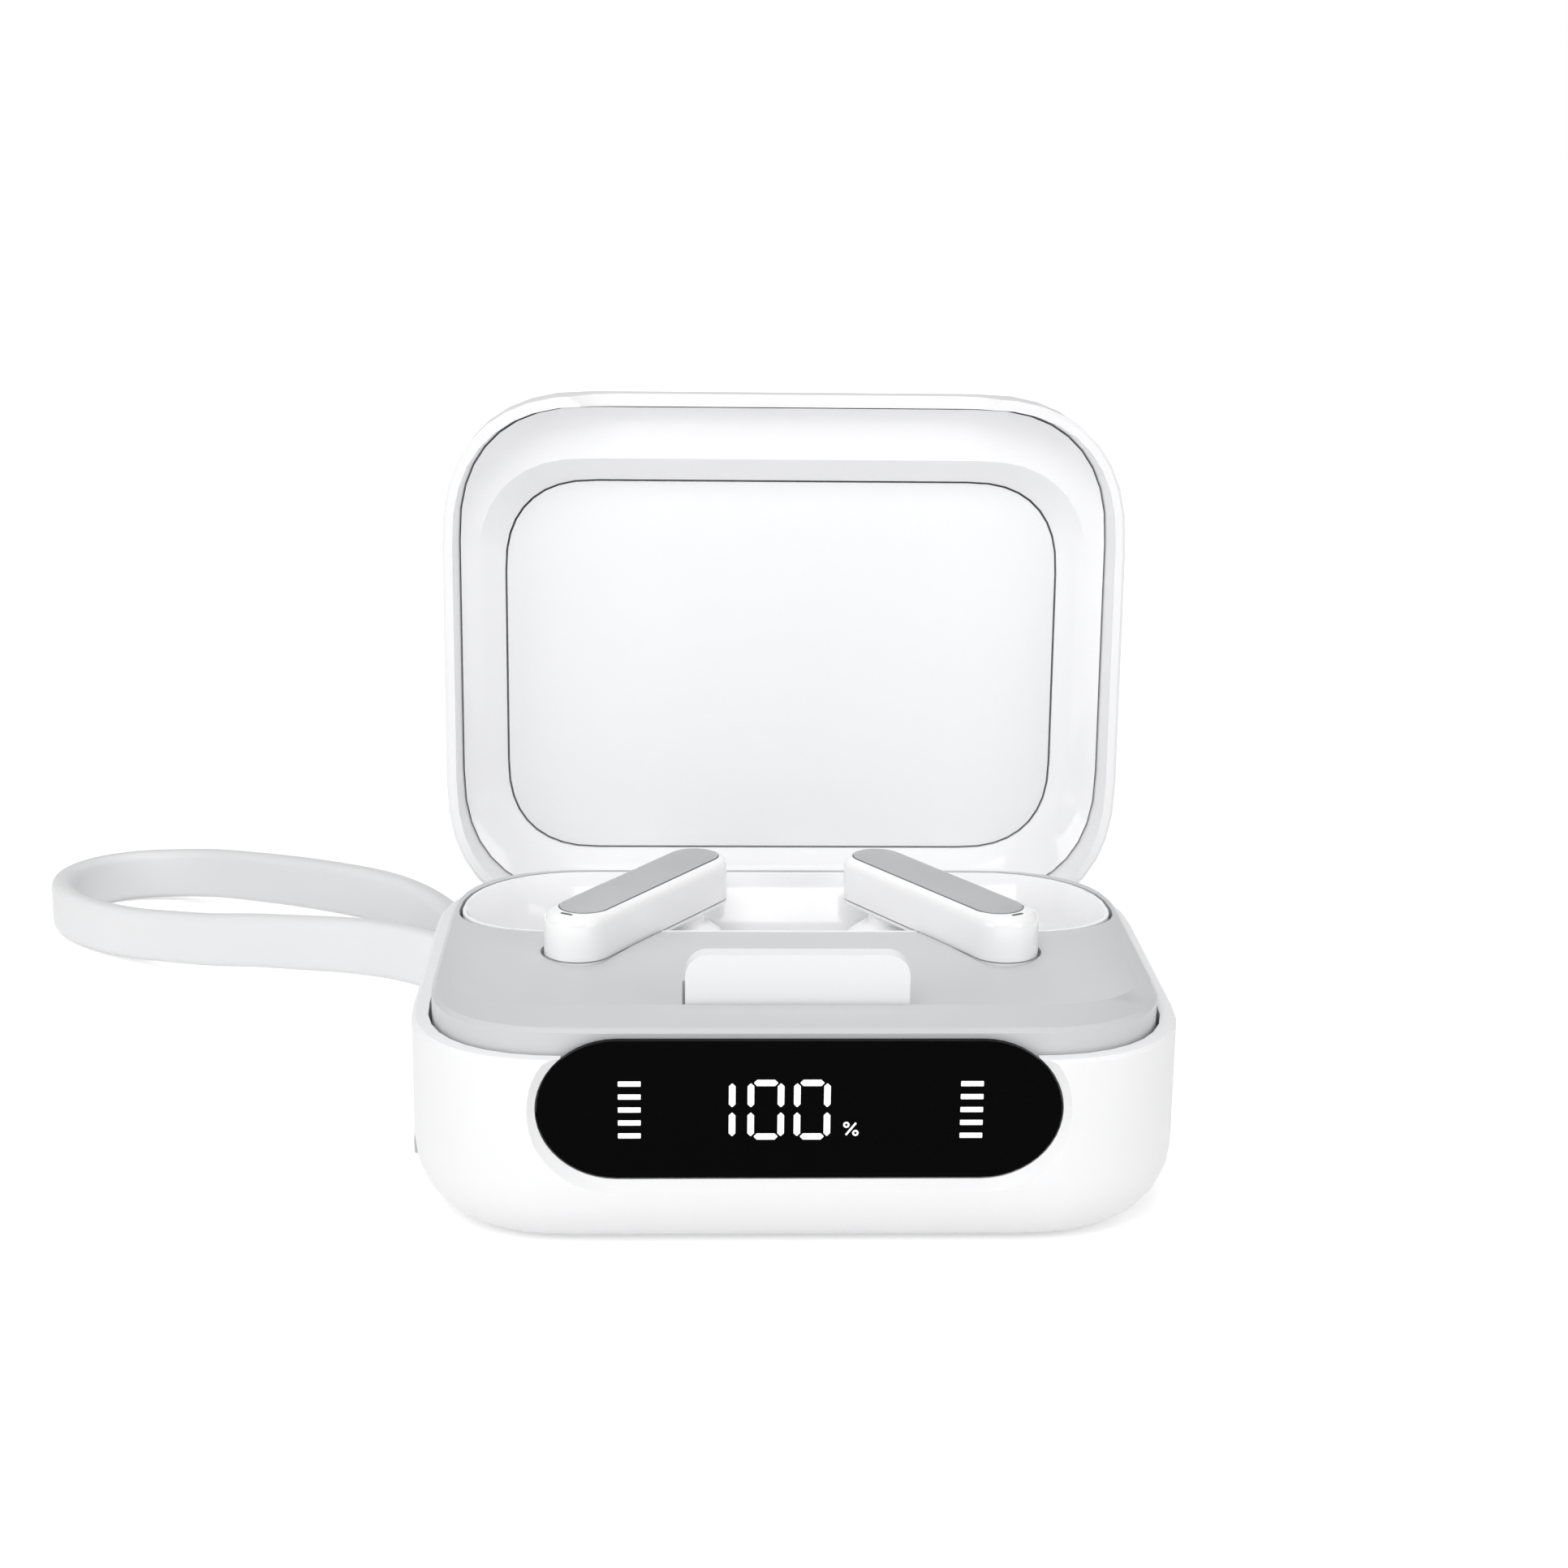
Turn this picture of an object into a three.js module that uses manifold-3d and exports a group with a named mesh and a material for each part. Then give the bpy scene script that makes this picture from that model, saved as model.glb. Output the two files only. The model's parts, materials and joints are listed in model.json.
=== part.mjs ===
// Wireless earbuds case with a phone-stand tray, a front display and a wrist strap.
// Millimetres, +Z up, +X to the right, +Y to the back. The origin is the centre of the bottom face.
// The lid is built in its closed place and turned open about the hinge pin at the end.

import * as THREE from "three";
import { mergeVertices } from "three/addons/utils/BufferGeometryUtils.js";
import Module from "manifold-3d";

const wasm = await Module();
wasm.setup();

// ---- driving dimensions ----------------------------------------------------------------------

// Case shell
const CASE_WIDTH = 66;
const CASE_DEPTH = 52;
const RIM_Z = 17.75;
const LID_HEIGHT = 12;
const RIM_GAP = 0.2;
const CORNER = 14.5;
const CORNER_POWER = 2.44;
const EDGE_FILLET = 7;
const RIM_CHAMFER = 0.3;
const WALL = 1.4;
const FLOOR = 1.6;
const CORNER_STEPS = 9;
const FILLET_STEPS = 6;

// Clearances
const SEAT_GAP = 0.3;
const RUNNING_GAP = 0.35;
const PIN_GAP = 0.25;

// Hinge, its axis measured in from the rear face and down from the base rim
const HINGE_INSET = 3.42;
const HINGE_DROP = 0.35;
const OPEN_ANGLE = 90.95;
const PIN_RADIUS = 0.75;
const PIN_LENGTH = 39;
const KNUCKLE_X = 15.5;
const KNUCKLE_WIDTH = 3;
const EYE_RADIUS = 1.7;
const EYE_WIDTH = 1.4;
const SPRING_WIRE = 0.35;
const SPRING_RADIUS = 1.45;
const SPRING_TURNS = 7;
const SPRING_LENGTH = 8;
const SPRING_X = -9;

// Cradle tray
const TRAY_RISE = 2.18;
const TRAY_DEPTH = 7.33;
const TRAY_REAR_INSET = 4.6;
const TRAY_WALL = 1.3;
const TRAY_EDGE = 0.35;
const TROUGH_FRONT_INSET = 7.8;
const TROUGH_RUN = 15.5;
const TROUGH_DEPTH = 2.1;
const TROUGH_CORNER = 9;
const TROUGH_SIDE_INSET = 2.8;
const TROUGH_FADE = 14.2;

// Phone stop: a flap that stands behind the front ledge and folds back into its recess
const STOP_HALF_WIDTH = 9.5;
const STOP_THICKNESS = 1.8;
const STOP_RISE = 4.27;
const STOP_CORNER = 1.9;
const STOP_PIVOT_DEPTH = 2.93;
const STOP_PIN_RADIUS = 0.45;
const STOP_PIN_REACH = 1.6;
const STOP_SIDE_GAP = 0.25;

// Bud bowl
const BOWL_SIDE_INSET = 3;
const BOWL_REAR_INSET = 5.9;
const BOWL_LENGTH = 18.2;
const BOWL_REAR_CORNER = 11.5;
const BOWL_FRONT_CORNER = [9, 6.6];
const BOWL_POWER = 2.2;
const BOWL_DEPTH = 10.33;
const BOWL_SKIN = 0.8;
const BOWL_LIP = 0.3;

// Display
const WINDOW_HALF_X = 21.7;
const WINDOW_HALF_Z = 6;
const WINDOW_END = 6.6;
const WINDOW_DROP = 4.5;
const WINDOW_RECESS = 0.8;
const WINDOW_THICKNESS = 0.6;
const WINDOW_BEVEL = 1;
const GUIDE_INSET = 0.7;
const GUIDE_THICKNESS = 1.4;
const DISPLAY_BOARD = new THREE.Vector3(40, 0.8, 11.6);

// Side button on the left wall
const BUTTON_INSET = 14.4;
const BUTTON_Z = 6.2;
const BUTTON_LENGTH = 7;
const BUTTON_HEIGHT = 2.9;
const BUTTON_PROUD = 0.35;
const BUTTON_TRAVEL = 0.5;

// Strap bay, strap anchor and strap
const BAY_DEPTH = 0.5;
const BAY_FRONT_INSET = 12;
const BAY_REAR_INSET = 7;
const BAY_BOTTOM = 3.6;
const BAY_TOP_DROP = 1.55;
const STRAP_WIDTH = 5.6;
const STRAP_THICKNESS = 2.4;
const STRAP_EDGE = 0.9;
const ANCHOR_SIDE_INSET = 2.1;
const ANCHOR_REAR_INSET = 8.6;
const ANCHOR_DROP = 5.65;
const ANCHOR_ANGLE = 18;
const ANCHOR_SIZE = new THREE.Vector3(3.4, 9.6, 6.8);
const ANCHOR_PIN_RADIUS = 0.7;

// Lid lining
const LINING_DEPTH = 4.35;
const COVE_RISE = 0.85;
const DISH_DEPTH = 3.6;
const LINING_SKIN = 1;
const LINING_INSET = 1.47;
const DISH_SIDE_INSET = 3.05;
const DISH_FRONT_INSET = 6.55;
const DISH_REAR_INSET = 3;
const DISH_CORNER = 11;
const PANEL_SIDE_INSET = 5.65;
const PANEL_FRONT_INSET = 9.25;
const PANEL_REAR_INSET = 5.4;
const PANEL_CORNER = 9;
const PANEL_THICKNESS = 1.2;

// Earbuds: the stem lies flat, its plate runs between two centres
const STEM_FRONT_X = -18.5;
const STEM_FRONT_INSET = 28.9;
const STEM_REAR_X = -8.7;
const STEM_REAR_INSET = 13;
const STEM_SINK = 0.53;
const STEM_SEAM_RISE = 0.4;
const STEM_HEIGHT = 4.4;
const STEM_RADIUS = 3.1;
const STEM_FRONT_OVERHANG = 1;
const STEM_EDGE = 0.9;
const STEM_WALL = 0.8;
const FACEPLATE_RADIUS = 2.35;
const FACEPLATE_THICKNESS = 0.5;
const HEAD_ALONG = 15.2;
const HEAD_ASIDE = 0.4;
const HEAD_DROP = 4.93;
const HEAD_RADII = new THREE.Vector3(5.2, 5, 4);
const HEAD_WALL = 0.8;
const NECK_RADIUS = 2.5;
const NOZZLE_RADIUS = 2;
const NOZZLE_REACH = 7.2;
const TIP_RADIUS = 3;
const TIP_LENGTH = 3;

// Charging pins under each stem, measured along it from the front plate centre
const PIN_STATIONS = [-1, 1.7];
const PIN_BLOCK = new THREE.Vector3(5.2, 2.8, 3.2);
const CHARGE_PIN_RADIUS = 0.5;
const CHARGE_PIN_HEAD = 0.8;
const CHARGE_PIN_TRAVEL = 0.5;
const NEST_DEPTH = 0.83;
const PAD_RADIUS = 0.9;

// Electronics
const BATTERY = new THREE.Vector3(38, 19, 5.2);
const BATTERY_INSET = 18.5;
const FOAM_THICKNESS = 1.2;
const MAIN_BOARD = new THREE.Vector3(46, 20.5, 1);
const MAIN_BOARD_INSET = 15.1;
const CHARGE_BOARD = new THREE.Vector3(22, 15, 1);
const CHARGE_BOARD_INSET = 11.1;
const CHARGE_BOARD_Z = 3.3;
const SOCKET = new THREE.Vector3(8.9, 7.4, 3.2);
const SOCKET_REAR_INSET = 0.8;
const SOCKET_SHELL = 0.35;
const SCREW_HEAD_RADIUS = 1.5;
const SCREW_HEAD_HEIGHT = 0.8;
const SCREW_SHANK_RADIUS = 0.7;
const SCREW_LENGTH = 3.2;
const SCREW_INSET = 7.4;
const MAGNET_RADIUS = 3;
const MAGNET_THICKNESS = 1.8;
const MAGNET_X = 9.5;
const MAGNET_INSET = 15;
const CATCH_MAGNET = new THREE.Vector3(10, 1.6, 2.4);
const LID_MAGNET = new THREE.Vector3(10, 2.6, 1.8);

// ---- derived places --------------------------------------------------------------------------

const FRONT_Y = -CASE_DEPTH / 2;
const REAR_Y = CASE_DEPTH / 2;
const SIDE_X = CASE_WIDTH / 2;
const HINGE_Y = REAR_Y - HINGE_INSET;
const HINGE_Z = RIM_Z - HINGE_DROP;
const LID_RIM_Z = RIM_Z + RIM_GAP;
const LID_TOP_Z = LID_RIM_Z + LID_HEIGHT;
const WINDOW_Y = FRONT_Y + WINDOW_RECESS;
const WINDOW_Z = RIM_Z - WINDOW_DROP;
const GUIDE_Y = WINDOW_Y + WINDOW_THICKNESS + SEAT_GAP;
const DISPLAY_BOARD_Y = GUIDE_Y + GUIDE_THICKNESS + SEAT_GAP + DISPLAY_BOARD.y / 2;
const TRAY_TOP = RIM_Z + TRAY_RISE;
const TRAY_BOTTOM = TRAY_TOP - TRAY_DEPTH;
const TRAY_REAR_Y = REAR_Y - TRAY_REAR_INSET;
const TROUGH_FRONT_Y = FRONT_Y + TROUGH_FRONT_INSET;
const TROUGH_REAR_Y = TROUGH_FRONT_Y + TROUGH_RUN;
const TROUGH_HALF_X = SIDE_X - TROUGH_SIDE_INSET;
const TROUGH_FULL_X = TROUGH_HALF_X - TROUGH_FADE;
const STOP_TOP = TRAY_TOP + STOP_RISE;
const BOWL_HALF_X = SIDE_X - BOWL_SIDE_INSET;
const BOWL_REAR_Y = REAR_Y - BOWL_REAR_INSET;
const BOWL_FRONT_Y = BOWL_REAR_Y - BOWL_LENGTH;
const BOWL_FLOOR = TRAY_TOP - BOWL_DEPTH;
const BUTTON_Y = FRONT_Y + BUTTON_INSET;
const BAY_FRONT_Y = FRONT_Y + BAY_FRONT_INSET;
const BAY_REAR_Y = REAR_Y - BAY_REAR_INSET;
const BAY_TOP = RIM_Z - BAY_TOP_DROP;
const ANCHOR_CENTRE = new THREE.Vector3(
  ANCHOR_SIDE_INSET - SIDE_X, REAR_Y - ANCHOR_REAR_INSET, RIM_Z - ANCHOR_DROP,
);
const DISH_MOUTH = {
  halfX: SIDE_X - DISH_SIDE_INSET, front: FRONT_Y + DISH_FRONT_INSET, rear: REAR_Y - DISH_REAR_INSET,
  corner: DISH_CORNER, power: CORNER_POWER,
};
const PANEL = {
  halfX: SIDE_X - PANEL_SIDE_INSET, front: FRONT_Y + PANEL_FRONT_INSET, rear: REAR_Y - PANEL_REAR_INSET,
  corner: PANEL_CORNER, power: CORNER_POWER,
};
const STEM_FRONT = new THREE.Vector2(STEM_FRONT_X, REAR_Y - STEM_FRONT_INSET);
const STEM_REAR = new THREE.Vector2(STEM_REAR_X, REAR_Y - STEM_REAR_INSET);
const STEM_BOTTOM = TRAY_TOP - STEM_SINK;
const STEM_SEAM = STEM_BOTTOM + STEM_SEAM_RISE;
const STEM_TOP = STEM_BOTTOM + STEM_HEIGHT;
const HEAD_CENTRE = new THREE.Vector3(HEAD_ALONG, HEAD_ASIDE, TRAY_TOP - HEAD_DROP);
const BATTERY_Y = FRONT_Y + BATTERY_INSET;
const MAIN_BOARD_Y = FRONT_Y + MAIN_BOARD_INSET;
const CHARGE_BOARD_Y = REAR_Y - CHARGE_BOARD_INSET;
const SOCKET_REAR_Y = REAR_Y - SOCKET_REAR_INSET;
const CASE_OUTLINE = {
  halfX: SIDE_X, front: FRONT_Y, rear: REAR_Y, corner: CORNER, power: CORNER_POWER,
};
const TRAY_INSET = WALL + SEAT_GAP;
const STEM_DIRECTION = STEM_REAR.clone().sub(STEM_FRONT).normalize();
const STEM_LENGTH = STEM_REAR.distanceTo(STEM_FRONT);

// ---- solids ----------------------------------------------------------------------------------

function solid(geometry) {
  const plain = geometry.clone();
  plain.deleteAttribute("normal");
  plain.deleteAttribute("uv");
  const merged = mergeVertices(plain, 1e-4);
  const mesh = new wasm.Mesh({
    numProp: 3,
    vertProperties: Float32Array.from(merged.attributes.position.array),
    triVerts: Uint32Array.from(merged.index.array),
  });
  return new wasm.Manifold(mesh);
}

function geometryOf(manifold) {
  const mesh = manifold.getMesh();
  const geometry = new THREE.BufferGeometry();
  geometry.setAttribute("position", new THREE.BufferAttribute(mesh.vertProperties, 3));
  geometry.setIndex(new THREE.BufferAttribute(mesh.triVerts, 1));
  return geometry;
}

function cut(body, ...tools) {
  return geometryOf(tools.reduce((left, tool) => left.subtract(solid(tool)), solid(body)));
}

function join(body, ...more) {
  return geometryOf(more.reduce((sum, piece) => sum.add(solid(piece)), solid(body)));
}

function common(first, second) {
  return geometryOf(solid(first).intersect(solid(second)));
}

function box(x0, x1, y0, y1, z0, z1) {
  const geometry = new THREE.BoxGeometry(x1 - x0, y1 - y0, z1 - z0);
  return geometry.translate((x0 + x1) / 2, (y0 + y1) / 2, (z0 + z1) / 2);
}

function slab(size, x, y, bottom) {
  const geometry = new THREE.BoxGeometry(size.x, size.y, size.z);
  return geometry.translate(x, y, bottom + size.z / 2);
}

function upright(radius, bottom, top, x, y, sides = 16) {
  const geometry = new THREE.CylinderGeometry(radius, radius, top - bottom, sides);
  return geometry.rotateX(Math.PI / 2).translate(x, y, (bottom + top) / 2);
}

// A round bar along X between two stations, on the hinge axis unless told otherwise.
function bar(radius, x0, x1, y = HINGE_Y, z = HINGE_Z, sides = 20) {
  const geometry = new THREE.CylinderGeometry(radius, radius, x1 - x0, sides);
  return geometry.rotateZ(Math.PI / 2).translate((x0 + x1) / 2, y, z);
}

// A rounded rectangle whose corners are quarter superellipses, drawn anticlockwise.
function outline({ halfX, front, rear, corner, frontCorner = [corner, corner], power }, inset = 0) {
  const extent = Math.max(corner - inset, 0.6);
  const [foreX, foreY] = frontCorner.map((size) => Math.max(size - inset, 0.6));
  const side = halfX - inset;
  const back = rear - inset - extent;
  const fore = front + inset + foreY;
  const corners = [
    [side - extent, back, extent, extent, false],
    [extent - side, back, -extent, extent, true],
    [foreX - side, fore, -foreX, -foreY, false],
    [side - foreX, fore, foreX, -foreY, true],
  ];
  return corners.flatMap(([cx, cy, reachX, reachY, swapped]) => {
    const points = [];
    for (let k = 0; k <= CORNER_STEPS; k += 1) {
      const angle = (k / CORNER_STEPS) * (Math.PI / 2);
      const u = Math.cos(angle) ** (2 / power);
      const v = Math.sin(angle) ** (2 / power);
      const [dx, dy] = swapped ? [v, u] : [u, v];
      points.push(new THREE.Vector2(cx + reachX * dx, cy + reachY * dy));
    }
    return points;
  });
}

// The skin over rings of equal count. Open lofts are capped at both ends; closed ones run round.
function loft(rings, closed = false) {
  const count = rings[0].points.length;
  const position = rings.flatMap(({ points, z }) => points.flatMap((p) => [p.x, p.y, z]));
  const index = [];
  const spans = closed ? rings.length : rings.length - 1;
  for (let r = 0; r < spans; r += 1) {
    const low = r * count;
    const high = ((r + 1) % rings.length) * count;
    for (let i = 0; i < count; i += 1) {
      const j = (i + 1) % count;
      index.push(low + i, low + j, high + j, low + i, high + j, high + i);
    }
  }
  if (!closed) {
    const last = rings.length - 1;
    addCap(position, index, rings[0], 0, false);
    addCap(position, index, rings[last], last * count, true);
  }
  const geometry = new THREE.BufferGeometry();
  geometry.setAttribute("position", new THREE.Float32BufferAttribute(position, 3));
  geometry.setIndex(index);
  return geometry;
}

function addCap(position, index, ring, start, facesUp) {
  const count = ring.points.length;
  const middle = ring.points.reduce((sum, p) => sum.add(p), new THREE.Vector2()).divideScalar(count);
  const centre = position.length / 3;
  position.push(middle.x, middle.y, ring.z);
  for (let i = 0; i < count; i += 1) {
    const j = (i + 1) % count;
    const [a, b] = facesUp ? [i, j] : [j, i];
    index.push(centre, start + a, start + b);
  }
}

// Rings of a quarter-round edge between a flat face at z and a wall, growing from the flat.
function filletRings(shape, radius, z, direction, baseInset = 0) {
  const rings = [];
  for (let k = 0; k <= FILLET_STEPS; k += 1) {
    const angle = (k / FILLET_STEPS) * (Math.PI / 2);
    const inset = baseInset + radius * (1 - Math.sin(angle));
    rings.push({ points: outline(shape, inset), z: z + direction * radius * (1 - Math.cos(angle)) });
  }
  return rings;
}

function capsule(length, radius) {
  const shape = new THREE.Shape();
  shape.absarc(length, 0, radius, -Math.PI / 2, Math.PI / 2);
  shape.absarc(0, 0, radius, Math.PI / 2, (3 * Math.PI) / 2);
  return shape;
}

function prism(shape, z0, z1, segments = 8) {
  const options = { depth: z1 - z0, bevelEnabled: false, curveSegments: segments };
  return new THREE.ExtrudeGeometry(shape, options).translate(0, 0, z0);
}

function roundedRectangle(halfX, halfY, radius) {
  const shape = new THREE.Shape();
  shape.absarc(halfX - radius, halfY - radius, radius, 0, Math.PI / 2);
  shape.absarc(radius - halfX, halfY - radius, radius, Math.PI / 2, Math.PI);
  shape.absarc(radius - halfX, radius - halfY, radius, Math.PI, 1.5 * Math.PI);
  shape.absarc(halfX - radius, radius - halfY, radius, 1.5 * Math.PI, 2 * Math.PI);
  return shape;
}

const root = new THREE.Group();

function addPart(parent, name, geometry, colour, roughness, metalness = 0) {
  const material = new THREE.MeshStandardMaterial({ color: colour, roughness, metalness });
  const mesh = new THREE.Mesh(geometry, material);
  mesh.name = name;
  parent.add(mesh);
  return mesh;
}

// ---- hinge space -----------------------------------------------------------------------------

// How far the case outline reaches behind the hinge axis at a station along X.
function barrelRadius(x) {
  const start = SIDE_X - CORNER;
  const u = Math.max(Math.abs(x) - start, 0) / CORNER;
  const reach = REAR_Y - CORNER + CORNER * (1 - u ** CORNER_POWER) ** (1 / CORNER_POWER);
  return reach - HINGE_Y;
}

// Where the outline crosses the hinge axis, so that the barrel has run out to nothing.
const CROSSING = (HINGE_Y - REAR_Y + CORNER) / CORNER;
const BARREL_HALF = SIDE_X - CORNER + CORNER * (1 - CROSSING ** CORNER_POWER) ** (1 / CORNER_POWER);
const BARREL_STATIONS = [0.98, 0.95, 0.91, 0.86, 0.8, 0.74, 0.64].map((share) => share * BARREL_HALF);

// A long barrel about the hinge axis that follows the rounded corners of the case.
function barrel(offset) {
  const right = BARREL_STATIONS.map((x) => [barrelRadius(x) + offset, x]);
  const left = right.map(([radius, x]) => [radius, -x]).reverse();
  const end = BARREL_HALF + offset;
  const profile = [[0, -end], ...left, ...right.reverse(), [0, end]];
  profile.sort((a, b) => a[1] - b[1]);
  const points = profile.map(([radius, x]) => new THREE.Vector2(radius, x));
  const lathe = new THREE.LatheGeometry(points, 28);
  return lathe.rotateZ(-Math.PI / 2).translate(0, HINGE_Y, HINGE_Z);
}

// The space that the lid's rear edge and its barrel sweep below the base rim.
function hingeSpace() {
  const shape = new THREE.Shape();
  const stations = BARREL_STATIONS.map((x) => [x, HINGE_Z - barrelRadius(x) - RUNNING_GAP]);
  const top = LID_TOP_Z;
  const half = BARREL_HALF + RUNNING_GAP;
  shape.moveTo(half, top);
  shape.lineTo(half, HINGE_Z - RUNNING_GAP);
  stations.forEach(([x, z]) => shape.lineTo(x, z));
  [...stations].reverse().forEach(([x, z]) => shape.lineTo(-x, z));
  shape.lineTo(-half, HINGE_Z - RUNNING_GAP);
  shape.lineTo(-half, top);
  const near = HINGE_Y + LID_RIM_Z - HINGE_Z - RUNNING_GAP;
  const behind = prism(shape, -(REAR_Y + 2), -near).rotateX(Math.PI / 2);
  const lower = box(-SIDE_X, SIDE_X, HINGE_Y - 6, REAR_Y + 2, HINGE_Z - 6, LID_RIM_Z - RIM_GAP / 2);
  return join(common(barrel(RUNNING_GAP), lower), behind);
}

// ---- display opening -------------------------------------------------------------------------

function windowShape(offset) {
  const shape = new THREE.Shape();
  const centre = WINDOW_HALF_X - WINDOW_END;
  const a = WINDOW_END + offset;
  const b = WINDOW_HALF_Z + offset;
  shape.absellipse(centre, 0, a, b, -Math.PI / 2, Math.PI / 2);
  shape.absellipse(-centre, 0, a, b, Math.PI / 2, (3 * Math.PI) / 2);
  return shape;
}

function windowRing(offset, y) {
  return { points: windowShape(offset).getPoints(12), z: -y };
}

// The cutter for the window and its bevelled surround, through the wall from the front.
function windowOpening(clearance, innerY) {
  const rings = [
    windowRing(clearance, innerY),
    windowRing(clearance, WINDOW_Y),
    windowRing(clearance + WINDOW_BEVEL, FRONT_Y),
    windowRing(clearance + WINDOW_BEVEL * 2, FRONT_Y - WINDOW_RECESS),
  ];
  return loft(rings).rotateX(Math.PI / 2).translate(0, 0, WINDOW_Z);
}

// ---- strap place -----------------------------------------------------------------------------

// A block seen square to the rounded corner that the strap leaves.
function anchorBlock(grow, extraOut = 0) {
  const size = ANCHOR_SIZE;
  const geometry = new THREE.BoxGeometry(size.x + 2 * grow + extraOut, size.y + 2 * grow, size.z + 2 * grow);
  geometry.translate(-extraOut / 2, 0, 0);
  geometry.rotateZ(-THREE.MathUtils.degToRad(ANCHOR_ANGLE));
  return geometry.translate(ANCHOR_CENTRE.x, ANCHOR_CENTRE.y, ANCHOR_CENTRE.z);
}

// ---- base shell ------------------------------------------------------------------------------

function baseShell() {
  const rimInner = { points: outline(CASE_OUTLINE, WALL), z: RIM_Z };
  const floorRings = filletRings(CASE_OUTLINE, EDGE_FILLET - WALL, FLOOR, 1, WALL).reverse();
  const rings = [
    ...filletRings(CASE_OUTLINE, EDGE_FILLET, 0, 1),
    { points: outline(CASE_OUTLINE), z: RIM_Z - RIM_CHAMFER },
    { points: outline(CASE_OUTLINE, RIM_CHAMFER), z: RIM_Z },
    rimInner,
    ...floorRings,
  ];
  return join(
    cut(loft(rings), windowOpening(0.15, WINDOW_Y + 2), strapBay(), anchorBlock(SEAT_GAP, 6), buttonHole(),
      socketHole(), hingeSpace()),
    ...floorBosses(),
  );
}

function strapBay() {
  const halfY = (BAY_REAR_Y - BAY_FRONT_Y) / 2;
  const halfZ = (BAY_TOP - BAY_BOTTOM) / 2;
  const shape = roundedRectangle(halfY, halfZ, halfZ - 1);
  const bevel = { depth: 3, bevelSize: 1.6, bevelThickness: BAY_DEPTH, bevelOffset: -1.6, bevelSegments: 3 };
  const bay = new THREE.ExtrudeGeometry(shape, { ...bevel, curveSegments: 8 });
  bay.rotateX(Math.PI / 2).rotateZ(-Math.PI / 2);
  return bay.translate(-SIDE_X - 3, (BAY_REAR_Y + BAY_FRONT_Y) / 2, (BAY_TOP + BAY_BOTTOM) / 2);
}

function sideCapsule(length, height, x0, x1) {
  const radius = height / 2;
  const run = length - height;
  const geometry = prism(capsule(run, radius), x0, x1).translate(-run / 2, 0, 0);
  return geometry.rotateX(Math.PI / 2).rotateZ(Math.PI / 2).translate(0, BUTTON_Y, BUTTON_Z);
}

function buttonHole() {
  const gap = 2 * PIN_GAP;
  return sideCapsule(BUTTON_LENGTH + gap, BUTTON_HEIGHT + gap, -SIDE_X - 1, -SIDE_X + WALL + 1);
}

function socketHole() {
  const height = SOCKET.z + 2 * PIN_GAP;
  const run = SOCKET.x + 2 * PIN_GAP - height;
  const hole = prism(capsule(run, height / 2), -REAR_Y - 1, -REAR_Y + WALL + 1.6).translate(-run / 2, 0, 0);
  return hole.rotateX(Math.PI / 2).translate(0, 0, CHARGE_BOARD_Z + CHARGE_BOARD.z + SEAT_GAP + SOCKET.z / 2);
}

const BRACKET_FOOT_Z = 5;
const BRACKET_FOOT = 1.2;
const SCREW_Y = REAR_Y - SCREW_INSET;

function floorBosses() {
  const under = FLOOR - 0.3;
  const boardTop = CHARGE_BOARD_Z - SEAT_GAP;
  const boardBosses = [-1, 1].map((side) => upright(1.4, under, boardTop, side * 8, CHARGE_BOARD_Y - 4, 12));
  const screwBosses = [-1, 1].map((side) => {
    const boss = upright(1.9, under, BRACKET_FOOT_Z - SEAT_GAP, side * KNUCKLE_X, SCREW_Y);
    const bore = SCREW_SHANK_RADIUS + PIN_GAP;
    return cut(boss, upright(bore, FLOOR + 0.4, BRACKET_FOOT_Z, side * KNUCKLE_X, SCREW_Y, 12));
  });
  return [...boardBosses, ...screwBosses];
}

// ---- tray, phone stop and bowl ---------------------------------------------------------------

const TRAY_OUTLINE = { ...CASE_OUTLINE, rear: TRAY_REAR_Y + TRAY_INSET, corner: CORNER };

// The front line of the trough, curving back towards both ends.
function troughFront(x) {
  const start = TROUGH_HALF_X - TROUGH_CORNER;
  const u = Math.min(Math.max(Math.abs(x) - start, 0) / TROUGH_CORNER, 1);
  return TROUGH_FRONT_Y + TROUGH_CORNER * (1 - (1 - u ** 2.3) ** (1 / 2.3));
}

// The trough from front to rear: the share of its run and the share of its depth.
const TROUGH_PROFILE = [
  [0, 0], [0.015, 0.9], [0.05, 1], [0.16, 0.95], [0.36, 0.72], [0.6, 0.36], [0.82, 0.09], [1, 0],
];

// One section of the phone trough: a steep front edge, a low floor and a long soft ramp.
function troughSection(x, grow) {
  const reach = TROUGH_HALF_X - TROUGH_FULL_X;
  const spread = THREE.MathUtils.clamp((Math.abs(x) - TROUGH_FULL_X) / reach, 0, 1);
  const depth = TROUGH_DEPTH * (0.5 + 0.5 * Math.cos(spread * Math.PI)) + 0.02;
  const front = troughFront(x);
  const run = TROUGH_REAR_Y - front;
  const points = TROUGH_PROFILE.map(([along, down]) => {
    const y = front + along * run + (along < 0.1 ? -grow : 0);
    return new THREE.Vector2(y, TRAY_TOP - depth * down - grow);
  });
  points[points.length - 1].x += grow;
  const ceiling = TRAY_TOP + 2;
  const lid = [new THREE.Vector2(TROUGH_REAR_Y + grow, ceiling), new THREE.Vector2(front - grow, ceiling)];
  return [...points, ...lid];
}

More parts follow.
